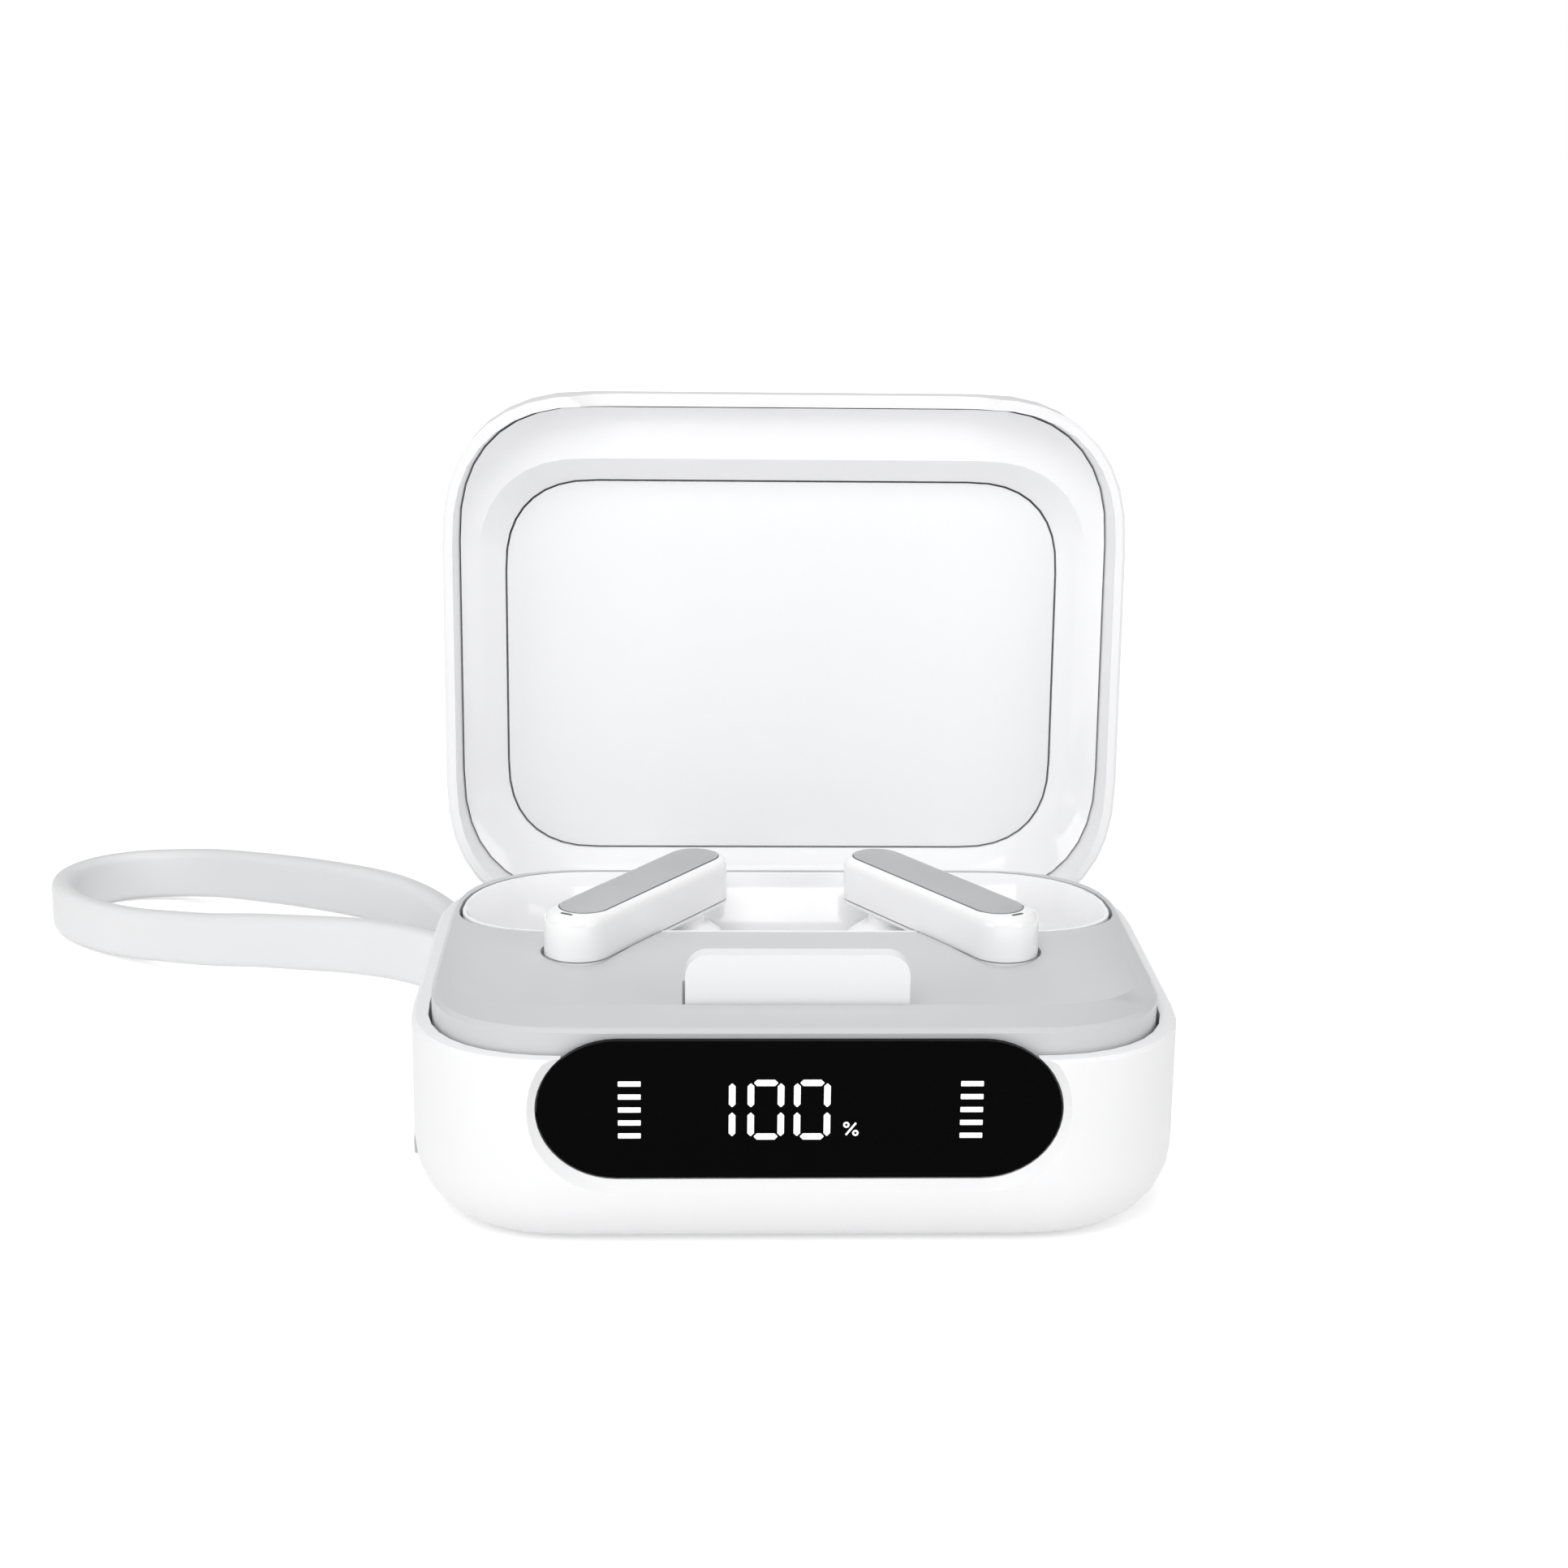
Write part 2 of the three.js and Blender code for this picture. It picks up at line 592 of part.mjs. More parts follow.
function trough(grow = 0) {
  const end = TROUGH_HALF_X - 0.5;
  const stations = [1, 0.97, 0.92, 0.86, 0.78, 0.69, 0.6, 0.53].map((share) => share * end);
  const places = [...stations.map((x) => -x), ...stations.reverse()];
  const rings = places.map((x) => ({ points: troughSection(x, grow), z: x }));
  const turn = new THREE.Matrix4().set(0, 0, 1, 0, 1, 0, 0, 0, 0, 1, 0, 0, 0, 0, 0, 1);
  return loft(rings).applyMatrix4(turn);
}

const STOP_FRONT_Y = TROUGH_FRONT_Y + SEAT_GAP;
const STOP_PIVOT_Y = STOP_FRONT_Y + STOP_THICKNESS / 2;
const STOP_PIVOT_Z = TRAY_TOP - STOP_PIVOT_DEPTH;
const RECESS_HALF = STOP_HALF_WIDTH + STOP_SIDE_GAP;
const RECESS_REAR_Y = STOP_PIVOT_Y + STOP_TOP - STOP_PIVOT_Z + SEAT_GAP;
const RECESS_FLOOR = STOP_PIVOT_Z - STOP_THICKNESS / 2 - SEAT_GAP;

// The recess that takes the folded flap.
function stopRecess(grow = 0) {
  const half = RECESS_HALF + grow;
  const front = TROUGH_FRONT_Y - grow;
  return box(-half, half, front, RECESS_REAR_Y + grow, RECESS_FLOOR - grow, TRAY_TOP + 3);
}

// The material left round the ends of the flap's pin.
function stopCheeks() {
  const half = RECESS_HALF + STOP_PIN_REACH + 0.8;
  return box(-half, half, TROUGH_FRONT_Y - TRAY_WALL, STOP_PIVOT_Y + 1.5, STOP_PIVOT_Z - 1.5, TRAY_TOP);
}

function stopPin() {
  const half = RECESS_HALF + STOP_PIN_REACH - SEAT_GAP;
  return bar(STOP_PIN_RADIUS, -half, half, STOP_PIVOT_Y, STOP_PIVOT_Z, 12);
}

function stopPinBore(half) {
  return bar(STOP_PIN_RADIUS + 0.15, -half, half, STOP_PIVOT_Y, STOP_PIVOT_Z, 12);
}

// The upright plate of the flap, with rounded upper corners and a round foot about its pin.
function phoneStop() {
  const height = STOP_TOP - STOP_PIVOT_Z;
  const shape = new THREE.Shape();
  shape.moveTo(-STOP_HALF_WIDTH, 0);
  shape.lineTo(STOP_HALF_WIDTH, 0);
  shape.absarc(STOP_HALF_WIDTH - STOP_CORNER, height - STOP_CORNER, STOP_CORNER, 0, Math.PI / 2);
  shape.absarc(STOP_CORNER - STOP_HALF_WIDTH, height - STOP_CORNER, STOP_CORNER, Math.PI / 2, Math.PI);
  const plate = prism(shape, -STOP_THICKNESS / 2, STOP_THICKNESS / 2, 5).rotateX(Math.PI / 2);
  plate.translate(0, STOP_PIVOT_Y, STOP_PIVOT_Z);
  const foot = bar(STOP_THICKNESS / 2, -STOP_HALF_WIDTH, STOP_HALF_WIDTH, STOP_PIVOT_Y, STOP_PIVOT_Z, 16);
  return cut(join(plate, foot), stopPinBore(STOP_HALF_WIDTH + 1));
}

// One level of the bud bowl, drawn in from its mouth at the ends, the front and the rear.
function bowlLevel(side, frontIn, rearIn) {
  const front = BOWL_FRONT_Y + frontIn;
  const rear = BOWL_REAR_Y - rearIn;
  const corner = Math.max(BOWL_REAR_CORNER - Math.max(side, rearIn), 3);
  const foreX = Math.max(BOWL_FRONT_CORNER[0] - side, 3);
  const foreY = Math.min(BOWL_FRONT_CORNER[1], rear - front - corner - 0.1);
  const shape = { halfX: BOWL_HALF_X - side, front, rear, corner, frontCorner: [foreX, foreY] };
  return outline({ ...shape, power: BOWL_POWER });
}

// The steps down the dish: how far in at each end, in front and behind, and the share of the depth.
const BOWL_STEPS = [
  [0, 0, 0, 0], [0.4, 0.25, 0.7, 0.07], [1.2, 0.7, 2, 0.26], [2.3, 1.2, 3, 0.5], [4, 2, 3.9, 0.76],
  [7, 3.2, 4.9, 0.94], [12, 4.8, 6.2, 1],
];

function bowlRings(grow, drop) {
  const depth = TRAY_TOP - BOWL_FLOOR;
  return BOWL_STEPS.map(([side, front, rear, share]) => ({
    points: bowlLevel(side - grow, front - grow, rear - grow),
    z: TRAY_TOP - share * depth - (share > 0 ? drop : 0),
  }));
}

function budBowl() {
  const outer = bowlRings(BOWL_SKIN, BOWL_SKIN).reverse();
  outer[outer.length - 1].points = bowlLevel(-BOWL_LIP, -BOWL_LIP, -BOWL_LIP);
  return cut(loft([...outer, ...bowlRings(0, 0)]), hingeSpace(), stemNest(-1), stemNest(1));
}

function bowlOpening(grow) {
  const points = bowlLevel(-grow, -grow, -grow);
  return loft([{ points, z: TRAY_BOTTOM - 2 }, { points, z: TRAY_TOP + 1 }]);
}

function stemPlace(geometry, side) {
  const angle = Math.atan2(STEM_DIRECTION.y, STEM_DIRECTION.x);
  geometry.rotateZ(side < 0 ? angle : Math.PI - angle);
  return geometry.translate(-side * STEM_FRONT.x, STEM_FRONT.y, 0);
}

function stemShape(radius) {
  return capsule(STEM_LENGTH + STEM_FRONT_OVERHANG, radius);
}

function stemNest(side) {
  const floor = TRAY_TOP - NEST_DEPTH;
  const nest = prism(stemShape(STEM_RADIUS + SEAT_GAP), floor, TRAY_TOP + 2);
  return stemPlace(nest.translate(-STEM_FRONT_OVERHANG, 0, 0), side);
}

function stemStation(along, side) {
  const point = STEM_FRONT.clone().addScaledVector(STEM_DIRECTION, along);
  return new THREE.Vector2(-side * point.x, point.y);
}

function cradleTray() {
  const block = loft([
    { points: outline(TRAY_OUTLINE, TRAY_INSET), z: TRAY_BOTTOM },
    { points: outline(TRAY_OUTLINE, TRAY_INSET), z: TRAY_TOP - TRAY_EDGE },
    { points: outline(TRAY_OUTLINE, TRAY_INSET + TRAY_EDGE), z: TRAY_TOP },
  ]);
  const ceiling = TRAY_TOP - TRAY_WALL - 0.2;
  const core = loft([
    { points: outline(TRAY_OUTLINE, TRAY_INSET + TRAY_WALL), z: TRAY_BOTTOM - 1 },
    { points: outline(TRAY_OUTLINE, TRAY_INSET + TRAY_WALL), z: ceiling },
  ]);
  const bowlWall = bowlOpening(2 * (SEAT_GAP + BOWL_LIP));
  const hollow = cut(core, trough(TRAY_WALL), stopRecess(TRAY_WALL), stopCheeks(), bowlWall);
  const guideRoom = prism(windowShape(SEAT_GAP - GUIDE_INSET), -DISPLAY_BOARD_Y - 1, -FRONT_Y, 10);
  const guidePocket = guideRoom.rotateX(Math.PI / 2).translate(0, 0, WINDOW_Z);
  const pinHoles = [-1, 1].flatMap((side) => PIN_STATIONS.map((along) => {
    const place = stemStation(along, side);
    return upright(CHARGE_PIN_RADIUS + PIN_GAP, TRAY_BOTTOM, TRAY_TOP + 1, place.x, place.y, 12);
  }));
  const pinSpace = bar(EYE_RADIUS + RUNNING_GAP, -PIN_LENGTH / 2 - 1, PIN_LENGTH / 2 + 1);
  const armY = HINGE_Y - EYE_RADIUS - RUNNING_GAP;
  const behindBowl = box(-BARREL_HALF, BARREL_HALF, armY, REAR_Y, TRAY_BOTTOM - 1, HINGE_Z);
  return cut(block, hollow, trough(), stopRecess(), stopPinBore(RECESS_HALF + STOP_PIN_REACH),
    bowlOpening(SEAT_GAP + BOWL_LIP), guidePocket, stemNest(-1), stemNest(1), hingeSpace(), pinSpace,
    behindBowl, anchorBlock(SEAT_GAP), ...pinHoles);
}

// ---- display stack ---------------------------------------------------------------------------

function displayWindow() {
  const plate = prism(windowShape(0), -WINDOW_Y - WINDOW_THICKNESS, -WINDOW_Y, 12);
  return plate.rotateX(Math.PI / 2).translate(0, 0, WINDOW_Z);
}

function lightGuide() {
  const plate = prism(windowShape(-GUIDE_INSET), -GUIDE_Y - GUIDE_THICKNESS, -GUIDE_Y, 10);
  return plate.rotateX(Math.PI / 2).translate(0, 0, WINDOW_Z);
}

function displayBoard() {
  return slab(DISPLAY_BOARD, 0, DISPLAY_BOARD_Y, WINDOW_Z - 7);
}

// ---- electronics -----------------------------------------------------------------------------

const BATTERY_Z = FLOOR + SEAT_GAP;
const FOAM_Z = BATTERY_Z + BATTERY.z + SEAT_GAP;
const MAIN_BOARD_Z = FOAM_Z + FOAM_THICKNESS + SEAT_GAP;
const BOARD_TOP = MAIN_BOARD_Z + MAIN_BOARD.z;

function usbSocket() {
  const bottom = CHARGE_BOARD_Z + CHARGE_BOARD.z + SEAT_GAP;
  const middle = bottom + SOCKET.z / 2;
  const run = SOCKET.x - SOCKET.z;
  const frontY = SOCKET_REAR_Y - SOCKET.y;
  const shell = prism(capsule(run, SOCKET.z / 2), -SOCKET_REAR_Y, -frontY);
  const inside = prism(capsule(run, SOCKET.z / 2 - SOCKET_SHELL), -SOCKET_REAR_Y - 1, -frontY - 1);
  const hollow = cut(shell, inside).translate(-run / 2, 0, 0).rotateX(Math.PI / 2).translate(0, 0, middle);
  const tongue = box(-run / 2, run / 2, frontY + 0.5, SOCKET_REAR_Y - 1.2, middle - 0.35, middle + 0.35);
  return join(hollow, tongue);
}

function pinBlock(side) {
  const middle = stemStation((PIN_STATIONS[0] + PIN_STATIONS[1]) / 2, side);
  const block = new THREE.BoxGeometry(PIN_BLOCK.x, PIN_BLOCK.y, PIN_BLOCK.z);
  const angle = Math.atan2(STEM_DIRECTION.y, STEM_DIRECTION.x);
  block.rotateZ(side < 0 ? angle : Math.PI - angle);
  block.translate(middle.x, middle.y, PIN_BLOCK_Z + PIN_BLOCK.z / 2);
  const holes = PIN_STATIONS.map((along) => {
    const place = stemStation(along, side);
    return upright(CHARGE_PIN_HEAD + PIN_GAP, PIN_BLOCK_Z + 0.8, PIN_BLOCK_Z + 5, place.x, place.y, 12);
  });
  return cut(block, ...holes);
}

const PIN_BLOCK_Z = TRAY_TOP - TRAY_WALL - 0.7 - SEAT_GAP - PIN_BLOCK.z;

// A sprung contact pin: a wide foot in the block's bore and a thin tip through the tray.
function chargePin(along, side) {
  const place = stemStation(along, side);
  const foot = PIN_BLOCK_Z + 0.8 + CHARGE_PIN_TRAVEL + SEAT_GAP;
  const shoulder = PIN_BLOCK_Z + PIN_BLOCK.z - 0.2;
  const tip = TRAY_TOP - NEST_DEPTH;
  const points = [
    [0, foot], [CHARGE_PIN_HEAD, foot], [CHARGE_PIN_HEAD, shoulder], [CHARGE_PIN_RADIUS, shoulder],
    [CHARGE_PIN_RADIUS, tip - 0.2], [CHARGE_PIN_RADIUS - 0.2, tip], [0, tip],
  ].map(([r, z]) => new THREE.Vector2(r, z));
  const lathe = new THREE.LatheGeometry(points, 12).rotateX(Math.PI / 2);
  return lathe.translate(place.x, place.y, 0);
}

function screw(side) {
  const top = BRACKET_FOOT_Z + BRACKET_FOOT + SEAT_GAP;
  const points = [
    [0, top - SCREW_LENGTH - SCREW_HEAD_HEIGHT], [SCREW_SHANK_RADIUS, top - SCREW_LENGTH],
    [SCREW_SHANK_RADIUS, top], [SCREW_HEAD_RADIUS, top], [SCREW_HEAD_RADIUS, top + SCREW_HEAD_HEIGHT],
    [0, top + SCREW_HEAD_HEIGHT],
  ].map(([r, z]) => new THREE.Vector2(r, z));
  return new THREE.LatheGeometry(points, 14).rotateX(Math.PI / 2).translate(side * KNUCKLE_X, SCREW_Y, 0);
}

// An eye on the hinge pin, an arm in front of the swinging rim, and a foot on the screw boss.
function hingeBracket(side) {
  const middle = side * KNUCKLE_X;
  const x0 = middle - KNUCKLE_WIDTH / 2;
  const x1 = middle + KNUCKLE_WIDTH / 2;
  const wallY = REAR_Y - WALL - SEAT_GAP;
  const armY = HINGE_Y + 0.15;
  const footTop = BRACKET_FOOT_Z + BRACKET_FOOT;
  const eye = bar(EYE_RADIUS, x0, x1);
  const arm = box(x0, x1, HINGE_Y - EYE_RADIUS + 0.3, armY, BRACKET_FOOT_Z, HINGE_Z);
  const webTop = HINGE_Z - HINGE_INSET - 2 * RUNNING_GAP;
  const web = box(x0, x1, HINGE_Y - EYE_RADIUS, wallY, footTop + 0.4, webTop);
  const foot = box(x0 - 0.6, x1 + 0.6, SCREW_Y - 2.2, armY, BRACKET_FOOT_Z, footTop);
  const screwHole = upright(SCREW_SHANK_RADIUS + PIN_GAP, 0, footTop + 1, middle, SCREW_Y, 12);
  return cut(join(eye, arm, web, foot), screwHole, bar(PIN_RADIUS + PIN_GAP, x0 - 1, x1 + 1));
}

// A torsion spring: a helix of wire wound round the hinge pin.
class Helix extends THREE.Curve {
  getPoint(t, target = new THREE.Vector3()) {
    const angle = t * SPRING_TURNS * 2 * Math.PI;
    const y = HINGE_Y + SPRING_RADIUS * Math.cos(angle);
    const z = HINGE_Z + SPRING_RADIUS * Math.sin(angle);
    return target.set(SPRING_X + t * SPRING_LENGTH, y, z);
  }
}

function hingeSpring() {
  const section = new THREE.Shape();
  section.absarc(0, 0, SPRING_WIRE / 2, 0, 2 * Math.PI);
  const steps = SPRING_TURNS * 10;
  return new THREE.ExtrudeGeometry(section, {
    steps, curveSegments: 2, bevelEnabled: false, extrudePath: new Helix(),
  });
}

// ---- strap -----------------------------------------------------------------------------------

// The middle line of the moulded loop, from the front strand's root round to the rear one's.
const STRAP_ROUTE = [
  [-33.1, 15.6, 12.1], [-35.6, 18.0, 12.0], [-39.2, 21.6, 11.5], [-43.6, 26.0, 10.5], [-49.0, 31.6, 8.9],
  [-54.4, 37.2, 7.3], [-60.0, 42.6, 5.6], [-65.4, 47.6, 4.3], [-70.2, 51.6, 3.4], [-74.6, 55.2, 3.0],
  [-78.4, 59.2, 2.9], [-80.7, 63.8, 2.9], [-80.9, 68.6, 2.9], [-78.6, 72.8, 2.9], [-74.4, 75.0, 3.0],
  [-69.6, 74.4, 3.4], [-64.4, 71.0, 4.4], [-59.0, 65.4, 5.7], [-53.2, 58.6, 7.2], [-47.0, 51.0, 8.7],
  [-41.6, 43.6, 10.0], [-37.2, 36.0, 11.0], [-34.0, 28.6, 11.7], [-32.2, 22.8, 12.1], [-31.7, 20.6, 12.1],
];

function strapSection() {
  const halfW = STRAP_WIDTH / 2;
  const halfT = STRAP_THICKNESS / 2;
  const e = STRAP_EDGE;
  const points = [
    [halfW, halfT - e], [halfW - e * 0.35, halfT - e * 0.35], [halfW - e, halfT],
    [e - halfW, halfT], [e * 0.35 - halfW, halfT - e * 0.35], [-halfW, halfT - e],
    [-halfW, e - halfT], [e * 0.35 - halfW, e * 0.35 - halfT], [e - halfW, -halfT],
    [halfW - e, -halfT], [halfW - e * 0.35, e * 0.35 - halfT], [halfW, e - halfT],
  ];
  return new THREE.Shape(points.map(([x, y]) => new THREE.Vector2(x, y)));
}

function wristStrap() {
  const route = STRAP_ROUTE.map((p) => new THREE.Vector3(...p));
  const path = new THREE.CatmullRomCurve3(route, false, "centripetal");
  return new THREE.ExtrudeGeometry(strapSection(), { steps: 44, bevelEnabled: false, extrudePath: path });
}

function strapAnchor() {
  const pinHole = upright(ANCHOR_PIN_RADIUS + PIN_GAP, 0, 30, ANCHOR_CENTRE.x, ANCHOR_CENTRE.y, 12);
  const shell = common(anchorBlock(0), outlineBlock(0.5));
  return cut(shell, pinHole);
}

function outlineBlock(inset) {
  const points = outline(CASE_OUTLINE, inset);
  return loft([{ points, z: 0 }, { points, z: RIM_Z }]);
}

function strapPin() {
  const half = ANCHOR_SIZE.z / 2;
  const { x, y, z } = ANCHOR_CENTRE;
  return upright(ANCHOR_PIN_RADIUS, z - half + 0.2, z + half - 0.2, x, y, 12);
}

// ---- lid, in its closed place ----------------------------------------------------------------

function lidBarrel() {
  const eyes = [-1, 1].flatMap((side) => [-1, 1].map((edge) => {
    const middle = side * KNUCKLE_X + edge * (KNUCKLE_WIDTH / 2 + SEAT_GAP + EYE_WIDTH / 2);
    return bar(EYE_RADIUS, middle - EYE_WIDTH / 2, middle + EYE_WIDTH / 2);
  }));
  const quarter = box(-SIDE_X, SIDE_X, HINGE_Y + 0.3, REAR_Y + 1, HINGE_Z - 6, LID_RIM_Z + 0.8);
  const slots = [-1, 1].map((side) => {
    const half = KNUCKLE_WIDTH / 2 + SEAT_GAP;
    const middle = side * KNUCKLE_X;
    return box(middle - half, middle + half, HINGE_Y - 5, REAR_Y + 1, HINGE_Z - 6, LID_RIM_Z + 1);
  });
  const springRoom = bar(SPRING_RADIUS + SPRING_WIRE + PIN_GAP, SPRING_X - 1, SPRING_X + SPRING_LENGTH + 1);
  const bore = bar(PIN_RADIUS + PIN_GAP, -PIN_LENGTH / 2 - SEAT_GAP, PIN_LENGTH / 2 + SEAT_GAP);
  return cut(join(common(barrel(0), quarter), ...eyes), ...slots, springRoom, bore);
}

function lidShell() {
  const ceiling = LID_TOP_Z - WALL;
  const inner = filletRings(CASE_OUTLINE, EDGE_FILLET - WALL, ceiling, -1, WALL);
  const rings = [
    ...inner,
    { points: outline(CASE_OUTLINE, 1.27), z: LID_RIM_Z + LINING_DEPTH },
    { points: outline(CASE_OUTLINE, 1), z: LID_RIM_Z },
    { points: outline(CASE_OUTLINE, RIM_CHAMFER), z: LID_RIM_Z },
    { points: outline(CASE_OUTLINE), z: LID_RIM_Z + RIM_CHAMFER },
    ...filletRings(CASE_OUTLINE, EDGE_FILLET, LID_TOP_Z, -1).reverse(),
  ];
  return cut(join(loft(rings), lidBarrel()), windowOpening(SEAT_GAP, FRONT_Y + 2.2));
}

function lidLiner() {
  const edge = LID_RIM_Z + LINING_DEPTH;
  const mouth = edge + COVE_RISE;
  const seam = mouth + DISH_DEPTH;
  const panelHole = grown(PANEL, 0.2);
  const rings = [
    { points: outline(CASE_OUTLINE, LINING_INSET), z: edge },
    { points: outline(CASE_OUTLINE, LINING_INSET + 0.25), z: edge + LINING_SKIN },
    { points: outline(grown(DISH_MOUTH, 0.7)), z: mouth + LINING_SKIN },
    { points: outline(grown(panelHole, 0.9)), z: seam + 0.5 },
    { points: outline(panelHole), z: seam + 0.5 },
    { points: outline(panelHole), z: seam },
    { points: outline(DISH_MOUTH), z: mouth },
  ];
  return loft(rings, true);
}

function grown(shape, by) {
  const { halfX, front, rear, corner, power } = shape;
  return { halfX: halfX + by, front: front - by, rear: rear + by, corner: corner + by, power };
}

function lidPanel() {
  const face = LID_RIM_Z + LINING_DEPTH + COVE_RISE + DISH_DEPTH + 0.1;
  return loft([
    { points: outline(PANEL), z: face },
    { points: outline(PANEL), z: face + PANEL_THICKNESS },
  ]);
}

// ---- earbuds, along +X from the plate's front centre ------------------------------------------

function stemShell() {
  const span = stemShape(STEM_RADIUS - STEM_EDGE);
  const bevel = { bevelSize: STEM_EDGE, bevelThickness: STEM_EDGE, bevelSegments: 3, curveSegments: 8 };
  const depth = STEM_TOP - STEM_SEAM;
  const body = new THREE.ExtrudeGeometry(span, { ...bevel, depth }).translate(-STEM_FRONT_OVERHANG, 0, 0);
  const upper = box(-20, 40, -10, 10, 0, depth);
  const rounded = common(body.translate(0, 0, -STEM_EDGE), upper).translate(0, 0, STEM_SEAM);
  const roof = STEM_TOP - FACEPLATE_THICKNESS - STEM_WALL;
  const cavity = prism(stemShape(STEM_RADIUS - STEM_WALL), STEM_SEAM - 1, roof);
  cavity.translate(-STEM_FRONT_OVERHANG, 0, 0);
  const seat = prism(capsule(STEM_LENGTH, FACEPLATE_RADIUS), STEM_TOP - FACEPLATE_THICKNESS, STEM_TOP + 1);
  return cut(rounded, cavity, seat);
}

function faceplate() {
  const plate = capsule(STEM_LENGTH, FACEPLATE_RADIUS - 0.1);
  return prism(plate, STEM_TOP - FACEPLATE_THICKNESS + 0.1, STEM_TOP + 0.05);
}

function nozzleTurn(geometry, side) {
  geometry.rotateX(Math.PI / 2).rotateY(Math.PI / 2 + 0.25);
  geometry.rotateZ(nozzleAngle(side));
  return geometry.translate(HEAD_CENTRE.x, side * HEAD_CENTRE.y, HEAD_CENTRE.z);
}

// The nozzle points across the case, towards the other bud.
function nozzleAngle(side) {
  const stem = Math.atan2(STEM_DIRECTION.y, STEM_DIRECTION.x);
  return side < 0 ? -stem : stem;
}

function ellipsoid(radii, side) {
  const ball = new THREE.SphereGeometry(1, 16, 10).scale(radii.x, radii.y, radii.z);
  return ball.translate(HEAD_CENTRE.x, side * HEAD_CENTRE.y, HEAD_CENTRE.z);
}

function innerShell(side) {
  const neckTop = STEM_SEAM - 0.15;
  const flange = prism(stemShape(STEM_RADIUS), STEM_BOTTOM, neckTop).translate(-STEM_FRONT_OVERHANG, 0, 0);
  const head = ellipsoid(HEAD_RADII, side);
  const neck = upright(NECK_RADIUS, HEAD_CENTRE.z, neckTop, HEAD_CENTRE.x, side * HEAD_CENTRE.y);
  const tube = new THREE.CylinderGeometry(NOZZLE_RADIUS, NOZZLE_RADIUS, NOZZLE_REACH, 14);
  const nozzle = nozzleTurn(tube.translate(0, NOZZLE_REACH / 2, 0), side);
  const air = new THREE.CylinderGeometry(NOZZLE_RADIUS - 0.6, NOZZLE_RADIUS - 0.6, NOZZLE_REACH, 12);
  const duct = nozzleTurn(air.translate(0, NOZZLE_REACH / 2 + 0.5, 0), side);
  const hollow = ellipsoid(HEAD_RADII.clone().subScalar(HEAD_WALL), side);
  const wiring = upright(NECK_RADIUS - 1, HEAD_CENTRE.z, STEM_TOP, HEAD_CENTRE.x, side * HEAD_CENTRE.y, 12);
  const padHoles = PIN_STATIONS.map((along) => upright(PAD_RADIUS + 0.15, 0, STEM_SEAM, along, 0, 12));
  return cut(join(flange, head, neck, nozzle), hollow, wiring, duct, ...padHoles);
}

// A silicone dome with a sleeve on the nozzle.
function earTip(side) {
  const start = NOZZLE_REACH - TIP_LENGTH + 0.8;
  const bore = NOZZLE_RADIUS + PIN_GAP;
  const points = [
    [bore, start + 0.4], [TIP_RADIUS - 0.2, start], [TIP_RADIUS, start + 0.6], [TIP_RADIUS - 0.5, start + 2],
    [bore + 0.15, start + TIP_LENGTH - 0.4], [bore, start + TIP_LENGTH - 0.4], [bore, start + 0.4],
  ].map(([r, z]) => new THREE.Vector2(r, z));
  return nozzleTurn(new THREE.LatheGeometry(points, 16), side);
}

function nozzleMesh(side) {
  const disc = new THREE.CylinderGeometry(NOZZLE_RADIUS - 0.75, NOZZLE_RADIUS - 0.75, 0.3, 12);
  return nozzleTurn(disc.translate(0, NOZZLE_REACH - 0.4, 0), side);
}

function driver(side) {
  const disc = upright(3, HEAD_CENTRE.z - 0.8, HEAD_CENTRE.z + 0.6, HEAD_CENTRE.x, side * HEAD_CENTRE.y);
  return disc;
}

function budBody(side, name) {
  const group = new THREE.Group();
  const angle = Math.atan2(STEM_DIRECTION.y, STEM_DIRECTION.x);
  group.position.set(side * -STEM_FRONT.x, STEM_FRONT.y, 0);
  group.rotation.z = side < 0 ? angle : Math.PI - angle;
  const inwards = side < 0 ? -1 : 1;
  addPart(group, `${name}_stem_shell`, stemShell(), 0xf4f5f6, 0.18);
  addPart(group, `${name}_faceplate`, faceplate(), 0xc4c5c7, 0.35, 0.7);
  addPart(group, `${name}_inner_shell`, innerShell(inwards), 0xf4f5f6, 0.2);
  addPart(group, `${name}_driver`, driver(inwards), 0x3a3a3c, 0.5, 0.4);
  addPart(group, `${name}_nozzle_mesh`, nozzleMesh(inwards), 0x8a8b8d, 0.4, 0.8);
  addPart(group, `${name}_ear_tip`, earTip(inwards), 0xf0f0f0, 0.6);
  const shelf = STEM_SEAM + 0.15;
  const half = STEM_RADIUS - STEM_WALL - SEAT_GAP - 0.1;
  const cell = box(2.5, 11.5, 0.2 - half, half - 0.2, shelf + 0.9, shelf + 2.4);
  addPart(group, `${name}_battery`, cell, 0x9aa0a6, 0.5, 0.3);
  addPart(group, `${name}_board`, box(-1, 12, -half, half, shelf, shelf + 0.6), 0x1f5f3a, 0.6);
  PIN_STATIONS.forEach((along, k) => {
    addPart(group, `${name}_contact_${k === 0 ? "front" : "rear"}`, contactPad(along), 0xd9b45a, 0.3, 1);
  });
  return group;
}

function contactPad(along) {
  return upright(PAD_RADIUS, STEM_BOTTOM, STEM_SEAM, along, 0, 12);
}

// ---- assembly --------------------------------------------------------------------------------

const WHITE = 0xf2f2f3;
const TRAY_GREY = 0xcdced0;

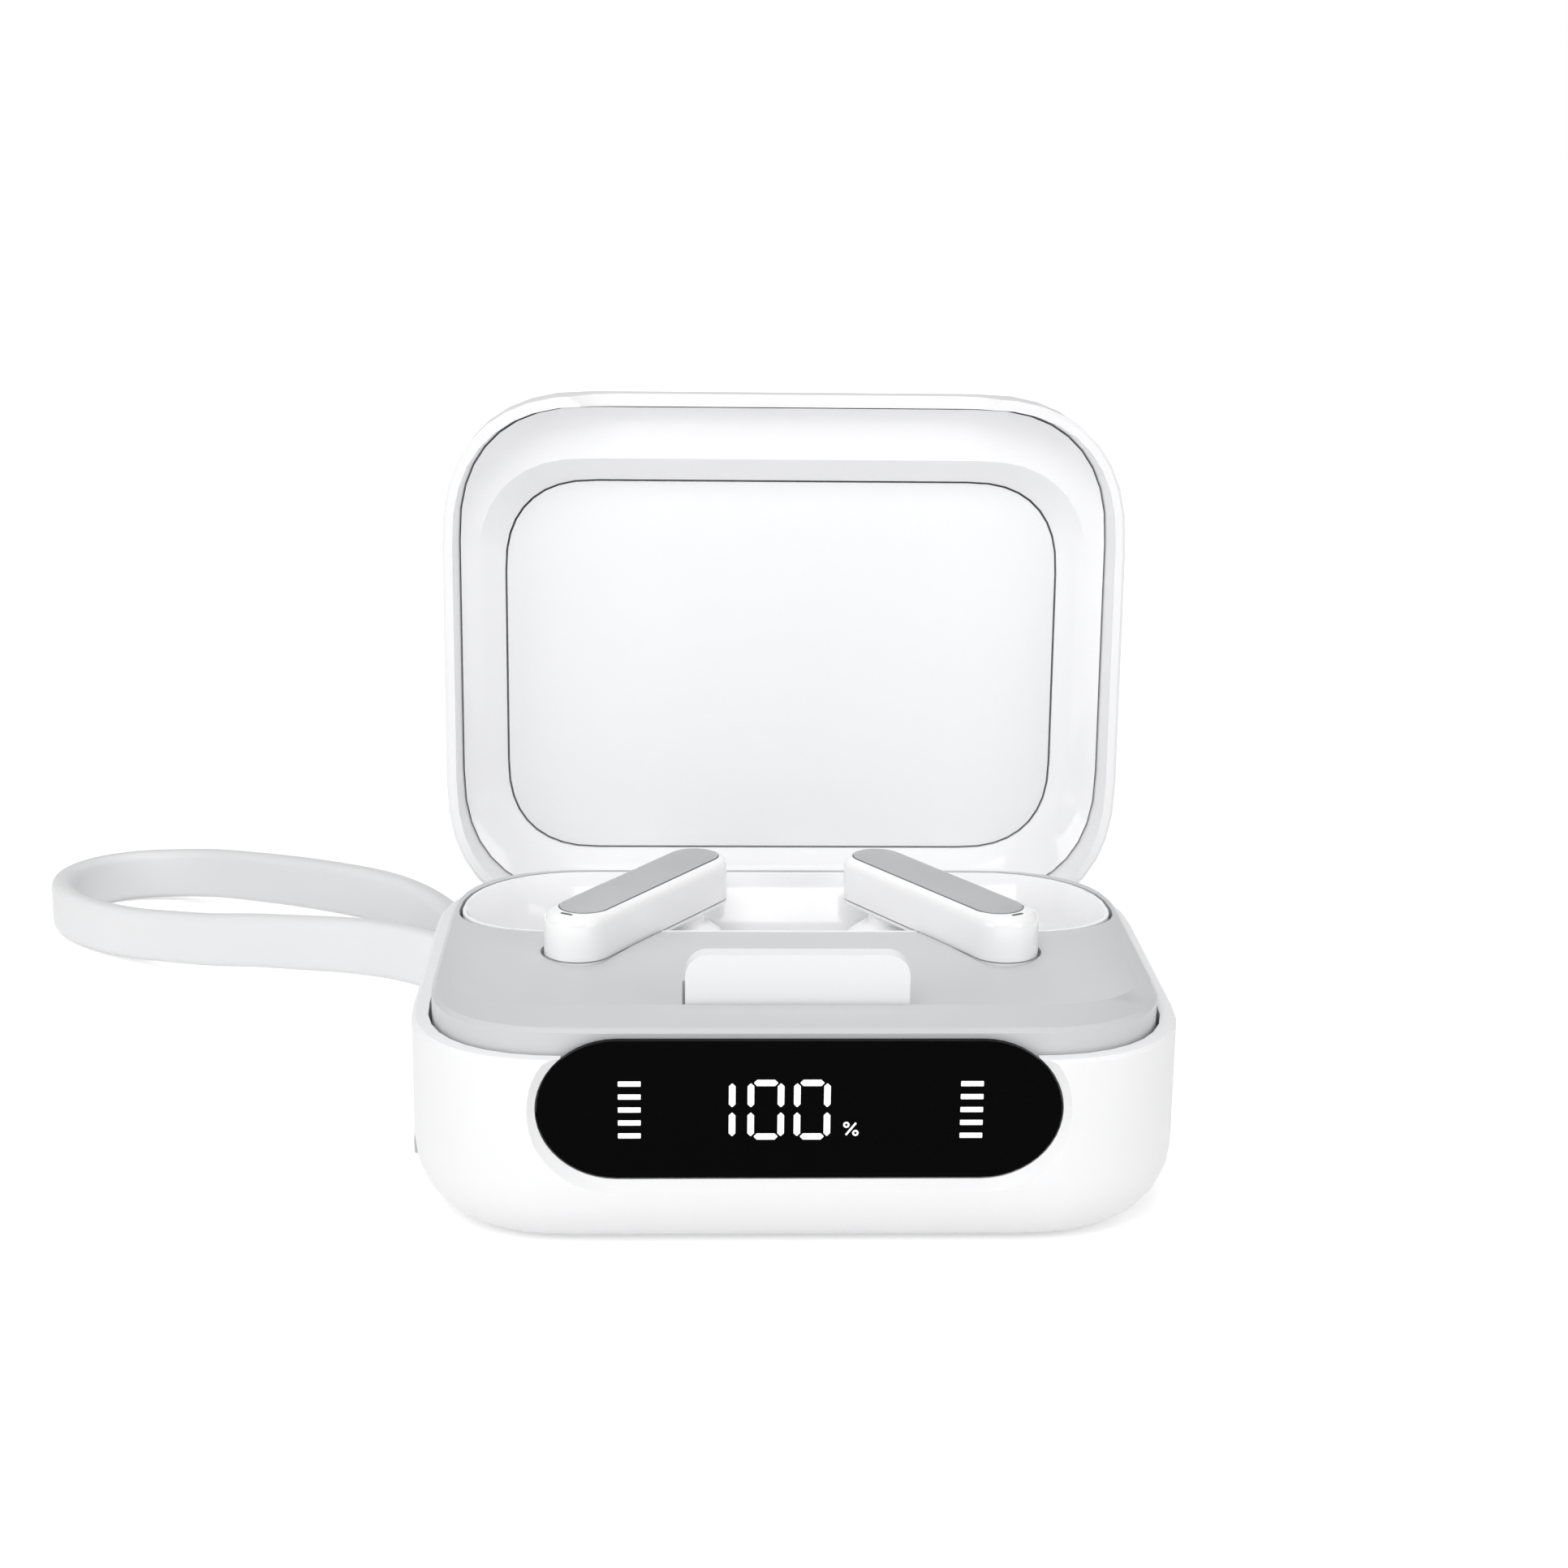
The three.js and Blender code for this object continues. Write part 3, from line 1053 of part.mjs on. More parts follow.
addPart(root, "base_shell", baseShell(), WHITE, 0.45);
addPart(root, "cradle_tray", cradleTray(), TRAY_GREY, 0.4);
addPart(root, "bud_bowl", budBowl(), 0xf6f7f8, 0.12);
addPart(root, "phone_stop", phoneStop(), 0xe4e5e7, 0.4);
addPart(root, "phone_stop_pin", stopPin(), 0xc0c3c7, 0.3, 0.9);
addPart(root, "display_window", displayWindow(), 0x050506, 0.05);
addPart(root, "light_guide", lightGuide(), 0xf5f5f5, 0.5);
addPart(root, "display_board", displayBoard(), 0x1f5f3a, 0.6);
addPart(root, "main_board", slab(MAIN_BOARD, 0, MAIN_BOARD_Y, MAIN_BOARD_Z), 0x1f5f3a, 0.6);
addPart(root, "battery_cell", slab(BATTERY, 0, BATTERY_Y, BATTERY_Z), 0xb9bdc2, 0.4, 0.3);
const foam = new THREE.Vector3(BATTERY.x - 6, BATTERY.y - 4, FOAM_THICKNESS);
addPart(root, "battery_foam", slab(foam, 0, BATTERY_Y, FOAM_Z), 0x2b2b2d, 0.95);
addPart(root, "charge_board", slab(CHARGE_BOARD, 0, CHARGE_BOARD_Y, CHARGE_BOARD_Z), 0x1f5f3a, 0.6);
addPart(root, "usb_socket", usbSocket(), 0xb8bbbf, 0.3, 0.9);
const hingePin = bar(PIN_RADIUS, -PIN_LENGTH / 2, PIN_LENGTH / 2, HINGE_Y, HINGE_Z, 14);
addPart(root, "hinge_pin", hingePin, 0xc0c3c7, 0.3, 0.9);
addPart(root, "hinge_spring", hingeSpring(), 0xb0b3b7, 0.35, 0.9);
addPart(root, "wrist_strap", wristStrap(), 0xe6e6e7, 0.6);
addPart(root, "strap_anchor", strapAnchor(), 0xe9e9ea, 0.5);
addPart(root, "strap_pin", strapPin(), 0xc0c3c7, 0.3, 0.9);

const buttonInner = -SIDE_X + WALL + 0.4;
const buttonOuter = -SIDE_X + BAY_DEPTH - BUTTON_PROUD;
const button = sideCapsule(BUTTON_LENGTH, BUTTON_HEIGHT, buttonOuter, buttonInner);
addPart(root, "side_button", button, 0xc2c3c5, 0.4);
const switchX = buttonInner + BUTTON_TRAVEL + SEAT_GAP;
addPart(root, "button_switch",
  box(switchX, switchX + 2.2, BUTTON_Y - 2.6, BUTTON_Y + 2.6, BUTTON_Z - 1.4, BUTTON_Z + 1.4), 0x303133, 0.5);
const catchY = DISPLAY_BOARD_Y + DISPLAY_BOARD.y / 2 + SEAT_GAP + CATCH_MAGNET.y / 2;
const catchZ = TRAY_TOP - TRAY_WALL - 0.2 - SEAT_GAP - CATCH_MAGNET.z;
addPart(root, "catch_magnet_base", slab(CATCH_MAGNET, 0, catchY, catchZ), 0x8d9094, 0.3, 0.9);
const sensorZ = BOARD_TOP + SEAT_GAP;
addPart(root, "hall_sensor", box(16, 18, FRONT_Y + 7, FRONT_Y + 9, sensorZ, sensorZ + 0.8), 0x202022, 0.5);

for (const [side, label] of [[-1, "left"], [1, "right"]]) {
  addPart(root, `hinge_bracket_${label}`, hingeBracket(side), 0xd9dadb, 0.45);
  addPart(root, `hinge_screw_${label}`, screw(side), 0xb8bbbf, 0.3, 0.9);
  addPart(root, `pin_block_${label}`, pinBlock(side), 0x2b2c2e, 0.5);
  const top = BOWL_FLOOR - BOWL_SKIN - SEAT_GAP;
  addPart(root, `bud_magnet_${label}`,
    upright(MAGNET_RADIUS, top - MAGNET_THICKNESS, top, side * MAGNET_X, REAR_Y - MAGNET_INSET, 20),
    0x8d9094, 0.3, 0.9);
  for (const [along, end] of [[PIN_STATIONS[0], "front"], [PIN_STATIONS[1], "rear"]]) {
    addPart(root, `charge_pin_${label}_${end}`, chargePin(along, side), 0xd9b45a, 0.25, 1);
  }
  const bud = budBody(side, `bud_${label}`);
  root.add(bud);
}

const lidHinge = new THREE.Group();
lidHinge.position.set(0, HINGE_Y, HINGE_Z);
lidHinge.rotation.x = -THREE.MathUtils.degToRad(OPEN_ANGLE);
const lid = new THREE.Group();
lid.position.set(0, -HINGE_Y, -HINGE_Z);
lidHinge.add(lid);
root.add(lidHinge);

addPart(lid, "lid_shell", lidShell(), WHITE, 0.45);
addPart(lid, "lid_liner", lidLiner(), 0xf6f7f8, 0.15);
addPart(lid, "lid_panel", lidPanel(), 0xe6e8ea, 0.5);
const magnetZ = LID_RIM_Z + LINING_DEPTH + COVE_RISE + LINING_SKIN + SEAT_GAP;
addPart(lid, "catch_magnet_lid", slab(LID_MAGNET, 0, FRONT_Y + WALL + 2.9, magnetZ), 0x8d9094, 0.3, 0.9);

export default root;
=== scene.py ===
# A wireless earbuds case, open, with both earbuds in it and a wrist strap lying behind it.
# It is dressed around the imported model, which gives every place, and every piece rides on its bodies.

import json
import math

import bmesh
import bpy
from mathutils import Matrix, Vector


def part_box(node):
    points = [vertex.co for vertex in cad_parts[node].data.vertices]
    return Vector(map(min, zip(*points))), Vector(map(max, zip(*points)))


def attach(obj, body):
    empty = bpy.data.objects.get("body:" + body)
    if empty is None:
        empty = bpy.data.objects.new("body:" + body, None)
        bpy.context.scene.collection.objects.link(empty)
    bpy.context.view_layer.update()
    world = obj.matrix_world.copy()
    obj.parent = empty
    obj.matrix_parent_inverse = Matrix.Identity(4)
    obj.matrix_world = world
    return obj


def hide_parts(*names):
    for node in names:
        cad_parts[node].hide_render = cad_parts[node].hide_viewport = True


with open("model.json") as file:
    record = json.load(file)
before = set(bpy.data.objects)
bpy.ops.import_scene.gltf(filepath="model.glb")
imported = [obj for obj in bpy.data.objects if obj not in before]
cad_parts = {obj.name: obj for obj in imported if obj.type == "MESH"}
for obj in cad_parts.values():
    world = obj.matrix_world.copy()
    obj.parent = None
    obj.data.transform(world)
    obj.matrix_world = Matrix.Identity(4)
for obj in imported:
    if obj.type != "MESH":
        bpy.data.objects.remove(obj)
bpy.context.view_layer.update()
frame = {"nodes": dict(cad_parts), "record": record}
nodes = frame["nodes"]
bpy.ops.object.select_all(action="DESELECT")


# ---- camera -----------------------------------------------------------------------------------
# A short telephoto stands a little above the tray, almost square to the front of the case.
# It turns two degrees to the right and leans by less than one.

CAMERA_PLACE = Vector((-0.0093, -0.2317, 0.0961))
PITCH, YAW, ROLL = math.radians(14.92), math.radians(2.12), math.radians(0.71)

bpy.ops.object.camera_add(location=CAMERA_PLACE)
camera = bpy.context.object
camera.name = "camera"
camera.data.lens = 61.55
camera.data.sensor_width = 36
camera.data.clip_start = 0.01
sight = Vector((math.sin(YAW) * math.cos(PITCH), math.cos(YAW) * math.cos(PITCH), -math.sin(PITCH)))
level = Vector((math.cos(YAW), -math.sin(YAW), 0))
upright = level.cross(sight)
to_right = math.cos(ROLL) * level + math.sin(ROLL) * upright
to_top = math.cos(ROLL) * upright - math.sin(ROLL) * level
turn = Matrix((to_right, to_top, -sight)).transposed()
camera.matrix_world = Matrix.Translation(CAMERA_PLACE) @ turn.to_4x4()
bpy.context.scene.camera = camera
bpy.context.scene.view_settings.view_transform = "Standard"


# ---- wrist strap ------------------------------------------------------------------------------
# A moulded silicone band, 5.6 mm wide and 2.4 mm thick, with both ends held by a pin in the case.
# It droops from its seat to the table and lies there on its edge, and all its corners are rounded.

STRAP_WIDTH = 0.0056
STRAP_THICKNESS = 0.0024
STRAP_EDGE = 0.0009
STRAP_ROUTE_MM = [
    (-33.1, 15.6, 12.1), (-35.6, 18.0, 12.0), (-39.2, 21.6, 11.5), (-43.6, 26.0, 10.5), (-49.0, 31.6, 8.9),
    (-54.4, 37.2, 7.3), (-60.0, 42.6, 5.6), (-65.4, 47.6, 4.3), (-70.2, 51.6, 3.4), (-74.6, 55.2, 3.0),
    (-78.4, 59.2, 2.9), (-80.7, 63.8, 2.9), (-80.9, 68.6, 2.9), (-78.6, 72.8, 2.9), (-74.4, 75.0, 3.0),
    (-69.6, 74.4, 3.4), (-64.4, 71.0, 4.4), (-59.0, 65.4, 5.7), (-53.2, 58.6, 7.2), (-47.0, 51.0, 8.7),
    (-41.6, 43.6, 10.0), (-37.2, 36.0, 11.0), (-34.0, 28.6, 11.7), (-32.2, 22.8, 12.1), (-31.7, 20.6, 12.1),
]


def strap_path(points, per_span):
    """A smooth line through the points, with the same spacing on every span."""
    line = []
    for k in range(len(points) - 1):
        before, start = points[max(k - 1, 0)], points[k]
        end, after = points[k + 1], points[min(k + 2, len(points) - 1)]
        for step in range(per_span):
            t = step / per_span
            square = (2 * before - 5 * start + 4 * end - after) * t * t
            cube = (3 * start - before - 3 * end + after) * t * t * t
            line.append((2 * start + (end - before) * t + square + cube) / 2)
    return line + [points[-1]]


def strap_outline():
    """The rounded section of the band: across its thickness, then up its width."""
    corners = []
    for side_u, side_v, first in ((1, 1, 0), (-1, 1, 90), (-1, -1, 180), (1, -1, 270)):
        for step in range(5):
            angle = math.radians(first + step * 22.5)
            u = side_u * (STRAP_THICKNESS / 2 - STRAP_EDGE) + STRAP_EDGE * math.cos(angle)
            v = side_v * (STRAP_WIDTH / 2 - STRAP_EDGE) + STRAP_EDGE * math.sin(angle)
            corners.append((u, v))
    return corners


strap_line = strap_path([Vector(point) / 1000 for point in STRAP_ROUTE_MM], 8)
band = bmesh.new()
rings = []
for k, point in enumerate(strap_line):
    along = strap_line[min(k + 1, len(strap_line) - 1)] - strap_line[max(k - 1, 0)]
    across = Vector((along.y, -along.x, 0)).normalized()
    upward = across.cross(along).normalized()
    upward = upward if upward.z > 0 else -upward
    rings.append([band.verts.new(point + across * u + upward * v) for u, v in strap_outline()])
for low, high in zip(rings, rings[1:]):
    for k in range(len(low)):
        j = (k + 1) % len(low)
        band.faces.new((low[k], low[j], high[j], high[k]))
band.faces.new(rings[0])
band.faces.new(list(reversed(rings[-1])))
bmesh.ops.recalc_face_normals(band, faces=band.faces)
strap_mesh = bpy.data.meshes.new("wrist_strap_band")
band.to_mesh(strap_mesh)
band.free()
strap = bpy.data.objects.new("wrist_strap_band", strap_mesh)
bpy.context.scene.collection.objects.link(strap)
bpy.context.view_layer.objects.active = strap
strap.select_set(True)
bpy.ops.object.shade_smooth_by_angle(angle=math.radians(50))
bpy.ops.object.select_all(action="DESELECT")


def linear(hex_colour):
    """An sRGB hex colour as the linear colour that the shader takes."""
    channels = [int(hex_colour[k:k + 2], 16) / 255 for k in (1, 3, 5)]
    bent = [c / 12.92 if c <= 0.04045 else ((c + 0.055) / 1.055) ** 2.4 for c in channels]
    return (*bent, 1)


def add_node(material, kind, values=None, links=None, **settings):
    """Adds one node with its settings, its socket values and the sockets that feed it."""
    tree = material.node_tree
    node = tree.nodes.new(kind)
    for name, value in settings.items():
        setattr(node, name, value)
    for name, value in (values or {}).items():
        node.inputs[name].default_value = value
    for name, source in (links or {}).items():
        tree.links.new(source, node.inputs[name])
    return node


def moulded(name, colours, roughness, grain_mm, depth_mm, ior=1.5, **more):
    """A moulded surface: two close colours drift over it, and a fine grain stands on it."""
    material = bpy.data.materials.new(name)
    material.use_nodes = True
    shader = material.node_tree.nodes["Principled BSDF"]
    shader.inputs["IOR"].default_value = ior
    for socket, value in more.items():
        shader.inputs[socket.replace("_", " ").title().replace("Ior", "IOR")].default_value = value
    place = add_node(material, "ShaderNodeTexCoord").outputs["Object"]
    drift = add_node(material, "ShaderNodeTexNoise", {"Scale": 60, "Detail": 1}, {"Vector": place})
    tint = add_node(material, "ShaderNodeMix", {"A": linear(colours[0]), "B": linear(colours[1])}, data_type="RGBA")
    material.node_tree.links.new(drift.outputs["Fac"], tint.inputs["Factor"])
    material.node_tree.links.new(tint.outputs["Result"], shader.inputs["Base Color"])
    grain = add_node(
        material, "ShaderNodeTexNoise", {"Scale": 1000 / grain_mm, "Detail": 2, "Roughness": 0.6}, {"Vector": place}
    )
    spread = add_node(
        material, "ShaderNodeMapRange", {"To Min": roughness * 0.88, "To Max": roughness * 1.12},
        {"Value": grain.outputs["Fac"]},
    )
    material.node_tree.links.new(spread.outputs["Result"], shader.inputs["Roughness"])
    relief = add_node(
        material, "ShaderNodeBump", {"Strength": 1, "Distance": depth_mm / 1000}, {"Height": grain.outputs["Fac"]}
    )
    material.node_tree.links.new(relief.outputs["Normal"], shader.inputs["Normal"])
    return material


# Silicone rubber, moulded and left satin: an even milky white with a soft sheen and no sharp glints.
silicone = moulded("strap_silicone_satin", ("#e9eaeb", "#eeeeef"), 0.42, 0.35, 0.004, 1.43, sheen_weight=0.15)
strap_mesh.materials.append(silicone)
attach(strap, "case")
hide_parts("wrist_strap")


# ---- case shells ------------------------------------------------------------------------------
# The base and the lid's outer shell are injection-moulded ABS, cast in a spark-eroded mould.
# Their edges are rounded with a 7 mm radius, and a flat rim runs round where they meet.


def smooth_facets(name, degrees):
    """Lets the facets of a round surface shade as one, and keeps the true edges sharp."""
    node = nodes[name]
    bpy.ops.object.select_all(action="DESELECT")
    bpy.context.view_layer.objects.active = node
    node.select_set(True)
    if node.data.has_custom_normals:
        bpy.ops.mesh.customdata_custom_splitnormals_clear()
    bpy.ops.object.shade_smooth()
    weld = node.modifiers.new("weld", "WELD")
    weld.merge_threshold = 0.000002
    split = node.modifiers.new("edges", "EDGE_SPLIT")
    split.split_angle = math.radians(degrees)
    bpy.ops.object.select_all(action="DESELECT")


def dress(names, material, degrees=32):
    """Gives CAD nodes their finish, in place of the plain one that they came with."""
    for name in names:
        nodes[name].data.materials.clear()
        nodes[name].data.materials.append(material)
        smooth_facets(name, degrees)


# ABS from a spark-eroded mould: white, with a fine sand grain that spreads every highlight.
# The real grain is about 0.1 mm; it is drawn at 0.22 mm so that it still shows.
sand_abs = moulded("abs_sand_white", ("#f3f3f4", "#f6f6f7"), 0.46, 0.22, 0.006, 1.52)
dress(["base_shell", "lid_shell"], sand_abs)


# ---- cradle tray and phone stop ---------------------------------------------------------------
# The tray is a satin ABS moulding that fills the base, with a hollow for the phone's edge.
# The stop is a flap of the same plastic on a steel pin, coloured paler than the tray: painted light for the front
# light on its face.

satin_abs = moulded("abs_satin_grey", ("#cbccce", "#cfd0d2"), 0.34, 0.5, 0.002, 1.52)
dress(["cradle_tray"], satin_abs)
# Painted light: the tray's plastic in a paler tone, standing in for the light falling on the stop's front face.
stop_painted_light_abs = moulded("abs_satin_painted_lit", ("#eeeff0", "#f2f3f4"), 0.36, 0.5, 0.002, 1.52)
dress(["phone_stop"], stop_painted_light_abs, 40)


# ---- bud bowl and lid lining ------------------------------------------------------------------
# Both are polished ABS: the bowl takes the earbud heads, the lining frames the lid's panel.
# The panel is a separate satin plate with a thin seam round it.

gloss_abs = moulded("abs_polished_white", ("#fafafb", "#fcfcfd"), 0.09, 1.4, 0.0012, 1.53)
dress(["bud_bowl", "lid_liner"], gloss_abs, 30)
panel_abs = moulded("abs_satin_panel", ("#f4f5f6", "#f8f8f9"), 0.5, 0.4, 0.002, 1.5)
dress(["lid_panel"], panel_abs)


# ---- display ----------------------------------------------------------------------------------
# A smoked acrylic window sits in a bevelled opening, with a light guide and a board behind it.
# Lit segments show a charge level in figures, and a stack of five bars stands at each end.

WINDOW_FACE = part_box("display_window")[0].y
WINDOW_MIDDLE = (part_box("display_window")[0].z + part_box("display_window")[1].z) / 2
MARK_STAND = 0.00003

smoked = moulded("acrylic_smoked_black", ("#010101", "#020202"), 0.04, 6, 0.0004, 1.49, specular_ior_level=0.03)
dress(["display_window"], smoked)


def lay_plate(name, across, tall, x, up, cut):
    """A thin plate on the window's face, with its corners cut, lit from behind."""
    place = (x / 1000, WINDOW_FACE, WINDOW_MIDDLE + up / 1000)
    bpy.ops.mesh.primitive_plane_add(size=1, location=place, rotation=(math.pi / 2, 0, 0))
    plate = bpy.context.object
    plate.name = name
    plate.scale = (across / 1000, tall / 1000, 1)
    bpy.ops.object.transform_apply(location=True, rotation=True, scale=True)
    bpy.ops.object.mode_set(mode="EDIT")
    bpy.ops.mesh.select_all(action="SELECT")
    bpy.ops.mesh.bevel(offset=cut / 1000, segments=1, affect="VERTICES")
    bpy.ops.mesh.select_all(action="SELECT")
    bpy.ops.mesh.extrude_region_move(TRANSFORM_OT_translate={"value": (0, -MARK_STAND, 0)})
    bpy.ops.mesh.select_all(action="SELECT")
    bpy.ops.mesh.normals_make_consistent(inside=False)
    bpy.ops.object.mode_set(mode="OBJECT")
    plate.select_set(False)
    return plate


def gather(plates, name):
    """Joins plates into one piece."""
    bpy.ops.object.select_all(action="DESELECT")
    for plate in plates:
        plate.select_set(True)
    bpy.context.view_layer.objects.active = plates[0]
    bpy.ops.object.join()
    plates[0].name = name
    plates[0].data.name = name
    bpy.ops.object.select_all(action="DESELECT")
    return plates[0]


DIGIT_HALF_WIDTH = 1.24
DIGIT_HALF_HEIGHT = 2.36
SEGMENT = 0.55
SIDE_LENGTH = 2.05
TOP_LENGTH = 1.95


def lay_zero(x):
    """The six lit segments of a nought."""
    sides = [
        lay_plate("segment", SEGMENT, SIDE_LENGTH, x + side * DIGIT_HALF_WIDTH, half * 1.28, 0.24)
        for side in (-1, 1) for half in (-1, 1)
    ]
    ends = [lay_plate("segment", TOP_LENGTH, SEGMENT, x, half * DIGIT_HALF_HEIGHT, 0.24) for half in (-1, 1)]
    return sides + ends


def lay_percent(x, up):
    """Two small rings either side of a slanting stroke."""
    pieces = []
    for side in (-1, 1):
        place = ((x + side * 0.38) / 1000, WINDOW_FACE - MARK_STAND / 2, WINDOW_MIDDLE + (up - side * 0.36) / 1000)
        bpy.ops.mesh.primitive_torus_add(
            location=place, rotation=(math.pi / 2, 0, 0), major_segments=20, minor_segments=6,
            major_radius=0.00019, minor_radius=0.00008,
        )
        ring = bpy.context.object
        ring.scale.z = MARK_STAND / 2 / 0.00008
        bpy.ops.object.transform_apply(location=True, rotation=True, scale=True)
        ring.select_set(False)
        pieces.append(ring)
    stroke = lay_plate("stroke", 0.17, 1.35, x, up, 0.02)
    lean = Matrix.Rotation(math.radians(38), 4, "Y")
    middle = Matrix.Translation(Vector((x / 1000, WINDOW_FACE, WINDOW_MIDDLE + up / 1000)))
    stroke.data.transform(middle @ lean @ middle.inverted())
    return pieces + [stroke]


one = [lay_plate("segment", SEGMENT, SIDE_LENGTH, -5.6, half * 1.28, 0.24) for half in (-1, 1)]
figures = gather(one + lay_zero(-2.82) + lay_zero(1.0) + lay_percent(4.23, -1.7), "display_figures")
bars = gather(
    [lay_plate("bar", 1.88, 0.45, x, 2.28 - row * 1.14, 0.04) for x in (-14.06, 14.2) for row in range(5)],
    "display_bars",
)

# White light through a diffusing film: even and a little short of full white.
lit_film = moulded("diffuser_lit_white", ("#e6e7e8", "#ececed"), 0.5, 0.3, 0.001, 1.5)
lit_shader = lit_film.node_tree.nodes["Principled BSDF"]
lit_shader.inputs["Emission Color"].default_value = linear("#f2f3f4")
lit_shader.inputs["Emission Strength"].default_value = 0.45
for piece in (figures, bars):
    piece.data.materials.append(lit_film)
    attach(piece, "case")

milky = moulded("acrylic_milky_guide", ("#f0f0f0", "#f6f6f6"), 0.3, 0.6, 0.001, 1.49)
dress(["light_guide"], milky)


# ---- side button and strap seat ---------------------------------------------------------------
# A satin button stands in a shallow bay in the left wall, and works a switch behind it.
# The strap's seat is a moulded block at the rear corner with a steel pin through it.

button_abs = moulded("abs_satin_button", ("#c6c7c9", "#cbccce"), 0.38, 0.4, 0.002, 1.52)
dress(["side_button"], button_abs, 40)
seat_abs = moulded("abs_satin_seat", ("#e6e6e7", "#ebebec"), 0.4, 0.4, 0.002, 1.52)
dress(["strap_anchor", "hinge_bracket_left", "hinge_bracket_right"], seat_abs)


# ---- earbuds ----------------------------------------------------------------------------------
# Each stem is a polished white shell with an inner half, and lies face up in its nest.
# A silver-lacquered plate fills the face, and a silicone tip stands on the nozzle in the bowl.

BUDS = ("bud_left", "bud_right")
bud_gloss = moulded("abs_polished_bud", ("#f9f9fa", "#fcfcfc"), 0.1, 1.2, 0.0008, 1.53)
dress([f"{bud}_{part}" for bud in BUDS for part in ("stem_shell", "inner_shell")], bud_gloss, 34)

# Metallic lacquer: flakes of about 0.08 mm glint apart, drawn at 0.16 mm so that they show.
lacquer = moulded("lacquer_silver_flake", ("#acadaf", "#cacbcc"), 0.34, 0.16, 0.012, 1.45, metallic=0.75)
dress([f"{bud}_faceplate" for bud in BUDS], lacquer)
tip_silicone = moulded("ear_tip_silicone", ("#eeeeee", "#f2f2f2"), 0.45, 0.4, 0.002, 1.43, sheen_weight=0.2)
dress([f"{bud}_ear_tip" for bud in BUDS], tip_silicone)

STEM_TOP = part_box("bud_left_stem_shell")[1].z
stem_way = Vector((-0.0087 + 0.0185, 0.013 + 0.0029, 0)).normalized()
# Painted shade: a thin dark grey plate laid on each stem top stands in for the shade inside the microphone slot; no
# opening is cut.
slot_painted_shade = moulded("slot_painted_shade_dark", ("#4a4b4d", "#555658"), 0.6, 0.3, 0.001, 1.5)
for side, bud in ((-1, "bud_left"), (1, "bud_right")):
    centre = Vector((-0.0185, -0.0029, STEM_TOP)) - stem_way * 0.00285
    centre.x *= -side
    angle = math.atan2(stem_way.y, stem_way.x) - math.pi / 2
    bpy.ops.mesh.primitive_cylinder_add(vertices=16, radius=0.00016, depth=0.00006, location=centre)
    slot_piece = bpy.context.object
    slot_piece.name = f"{bud}_microphone_slot"
    bpy.ops.object.transform_apply(location=True, rotation=True, scale=True)
    bpy.ops.object.mode_set(mode="EDIT")
    bpy.ops.mesh.select_all(action="DESELECT")
    bpy.ops.object.mode_set(mode="OBJECT")
    swing = Matrix.Translation(centre) @ Matrix.Rotation(-side * angle, 4, "Z")
    for vertex in slot_piece.data.vertices:
        local = vertex.co - centre
        local.x += math.copysign(0.00045, local.x) if abs(local.x) > 1e-7 else 0
        vertex.co = swing @ local
    slot_piece.data.materials.append(slot_painted_shade)
    slot_piece.select_set(False)
    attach(slot_piece, bud)


# ---- pins, springs and inner parts ------------------------------------------------------------
# Steel pins, screws, the hinge spring and magnets; gold contacts; boards, cell, foam and switch.
# Little of them shows, but each has its own finish.

steel = moulded("steel_ground", ("#b9bcc0", "#c4c6ca"), 0.3, 0.2, 0.002, 1.5, metallic=1.0)
gold = moulded("contact_gold_plate", ("#d9b663", "#e2c376"), 0.24, 0.2, 0.001, 1.5, metallic=1.0)
board_green = moulded("board_solder_mask", ("#1d5a3a", "#236845"), 0.3, 0.8, 0.004, 1.5)
foil = moulded("cell_foil", ("#b6babf", "#c3c6ca"), 0.35, 0.9, 0.006, 1.5, metallic=0.8)
foam_black = moulded("foam_open_cell", ("#29292b", "#353537"), 0.95, 0.5, 0.05, 1.4)
dark_abs = moulded("abs_satin_dark", ("#2c2d2f", "#343537"), 0.45, 0.4, 0.002, 1.52)
SLOT_FINISH = {
    "steel": steel, "contact_gold": gold, "board_green": board_green, "battery_foil": foil,
    "foam_black": foam_black, "dark_plastic": dark_abs,
}
for subpart in frame["record"]["subparts"]:
    if subpart["material_slot"] in SLOT_FINISH:
        dress([subpart["node"]], SLOT_FINISH[subpart["material_slot"]])


# ---- floor and light --------------------------------------------------------------------------
# A plain white sheet under the case, a white surround, and three soft lamps.

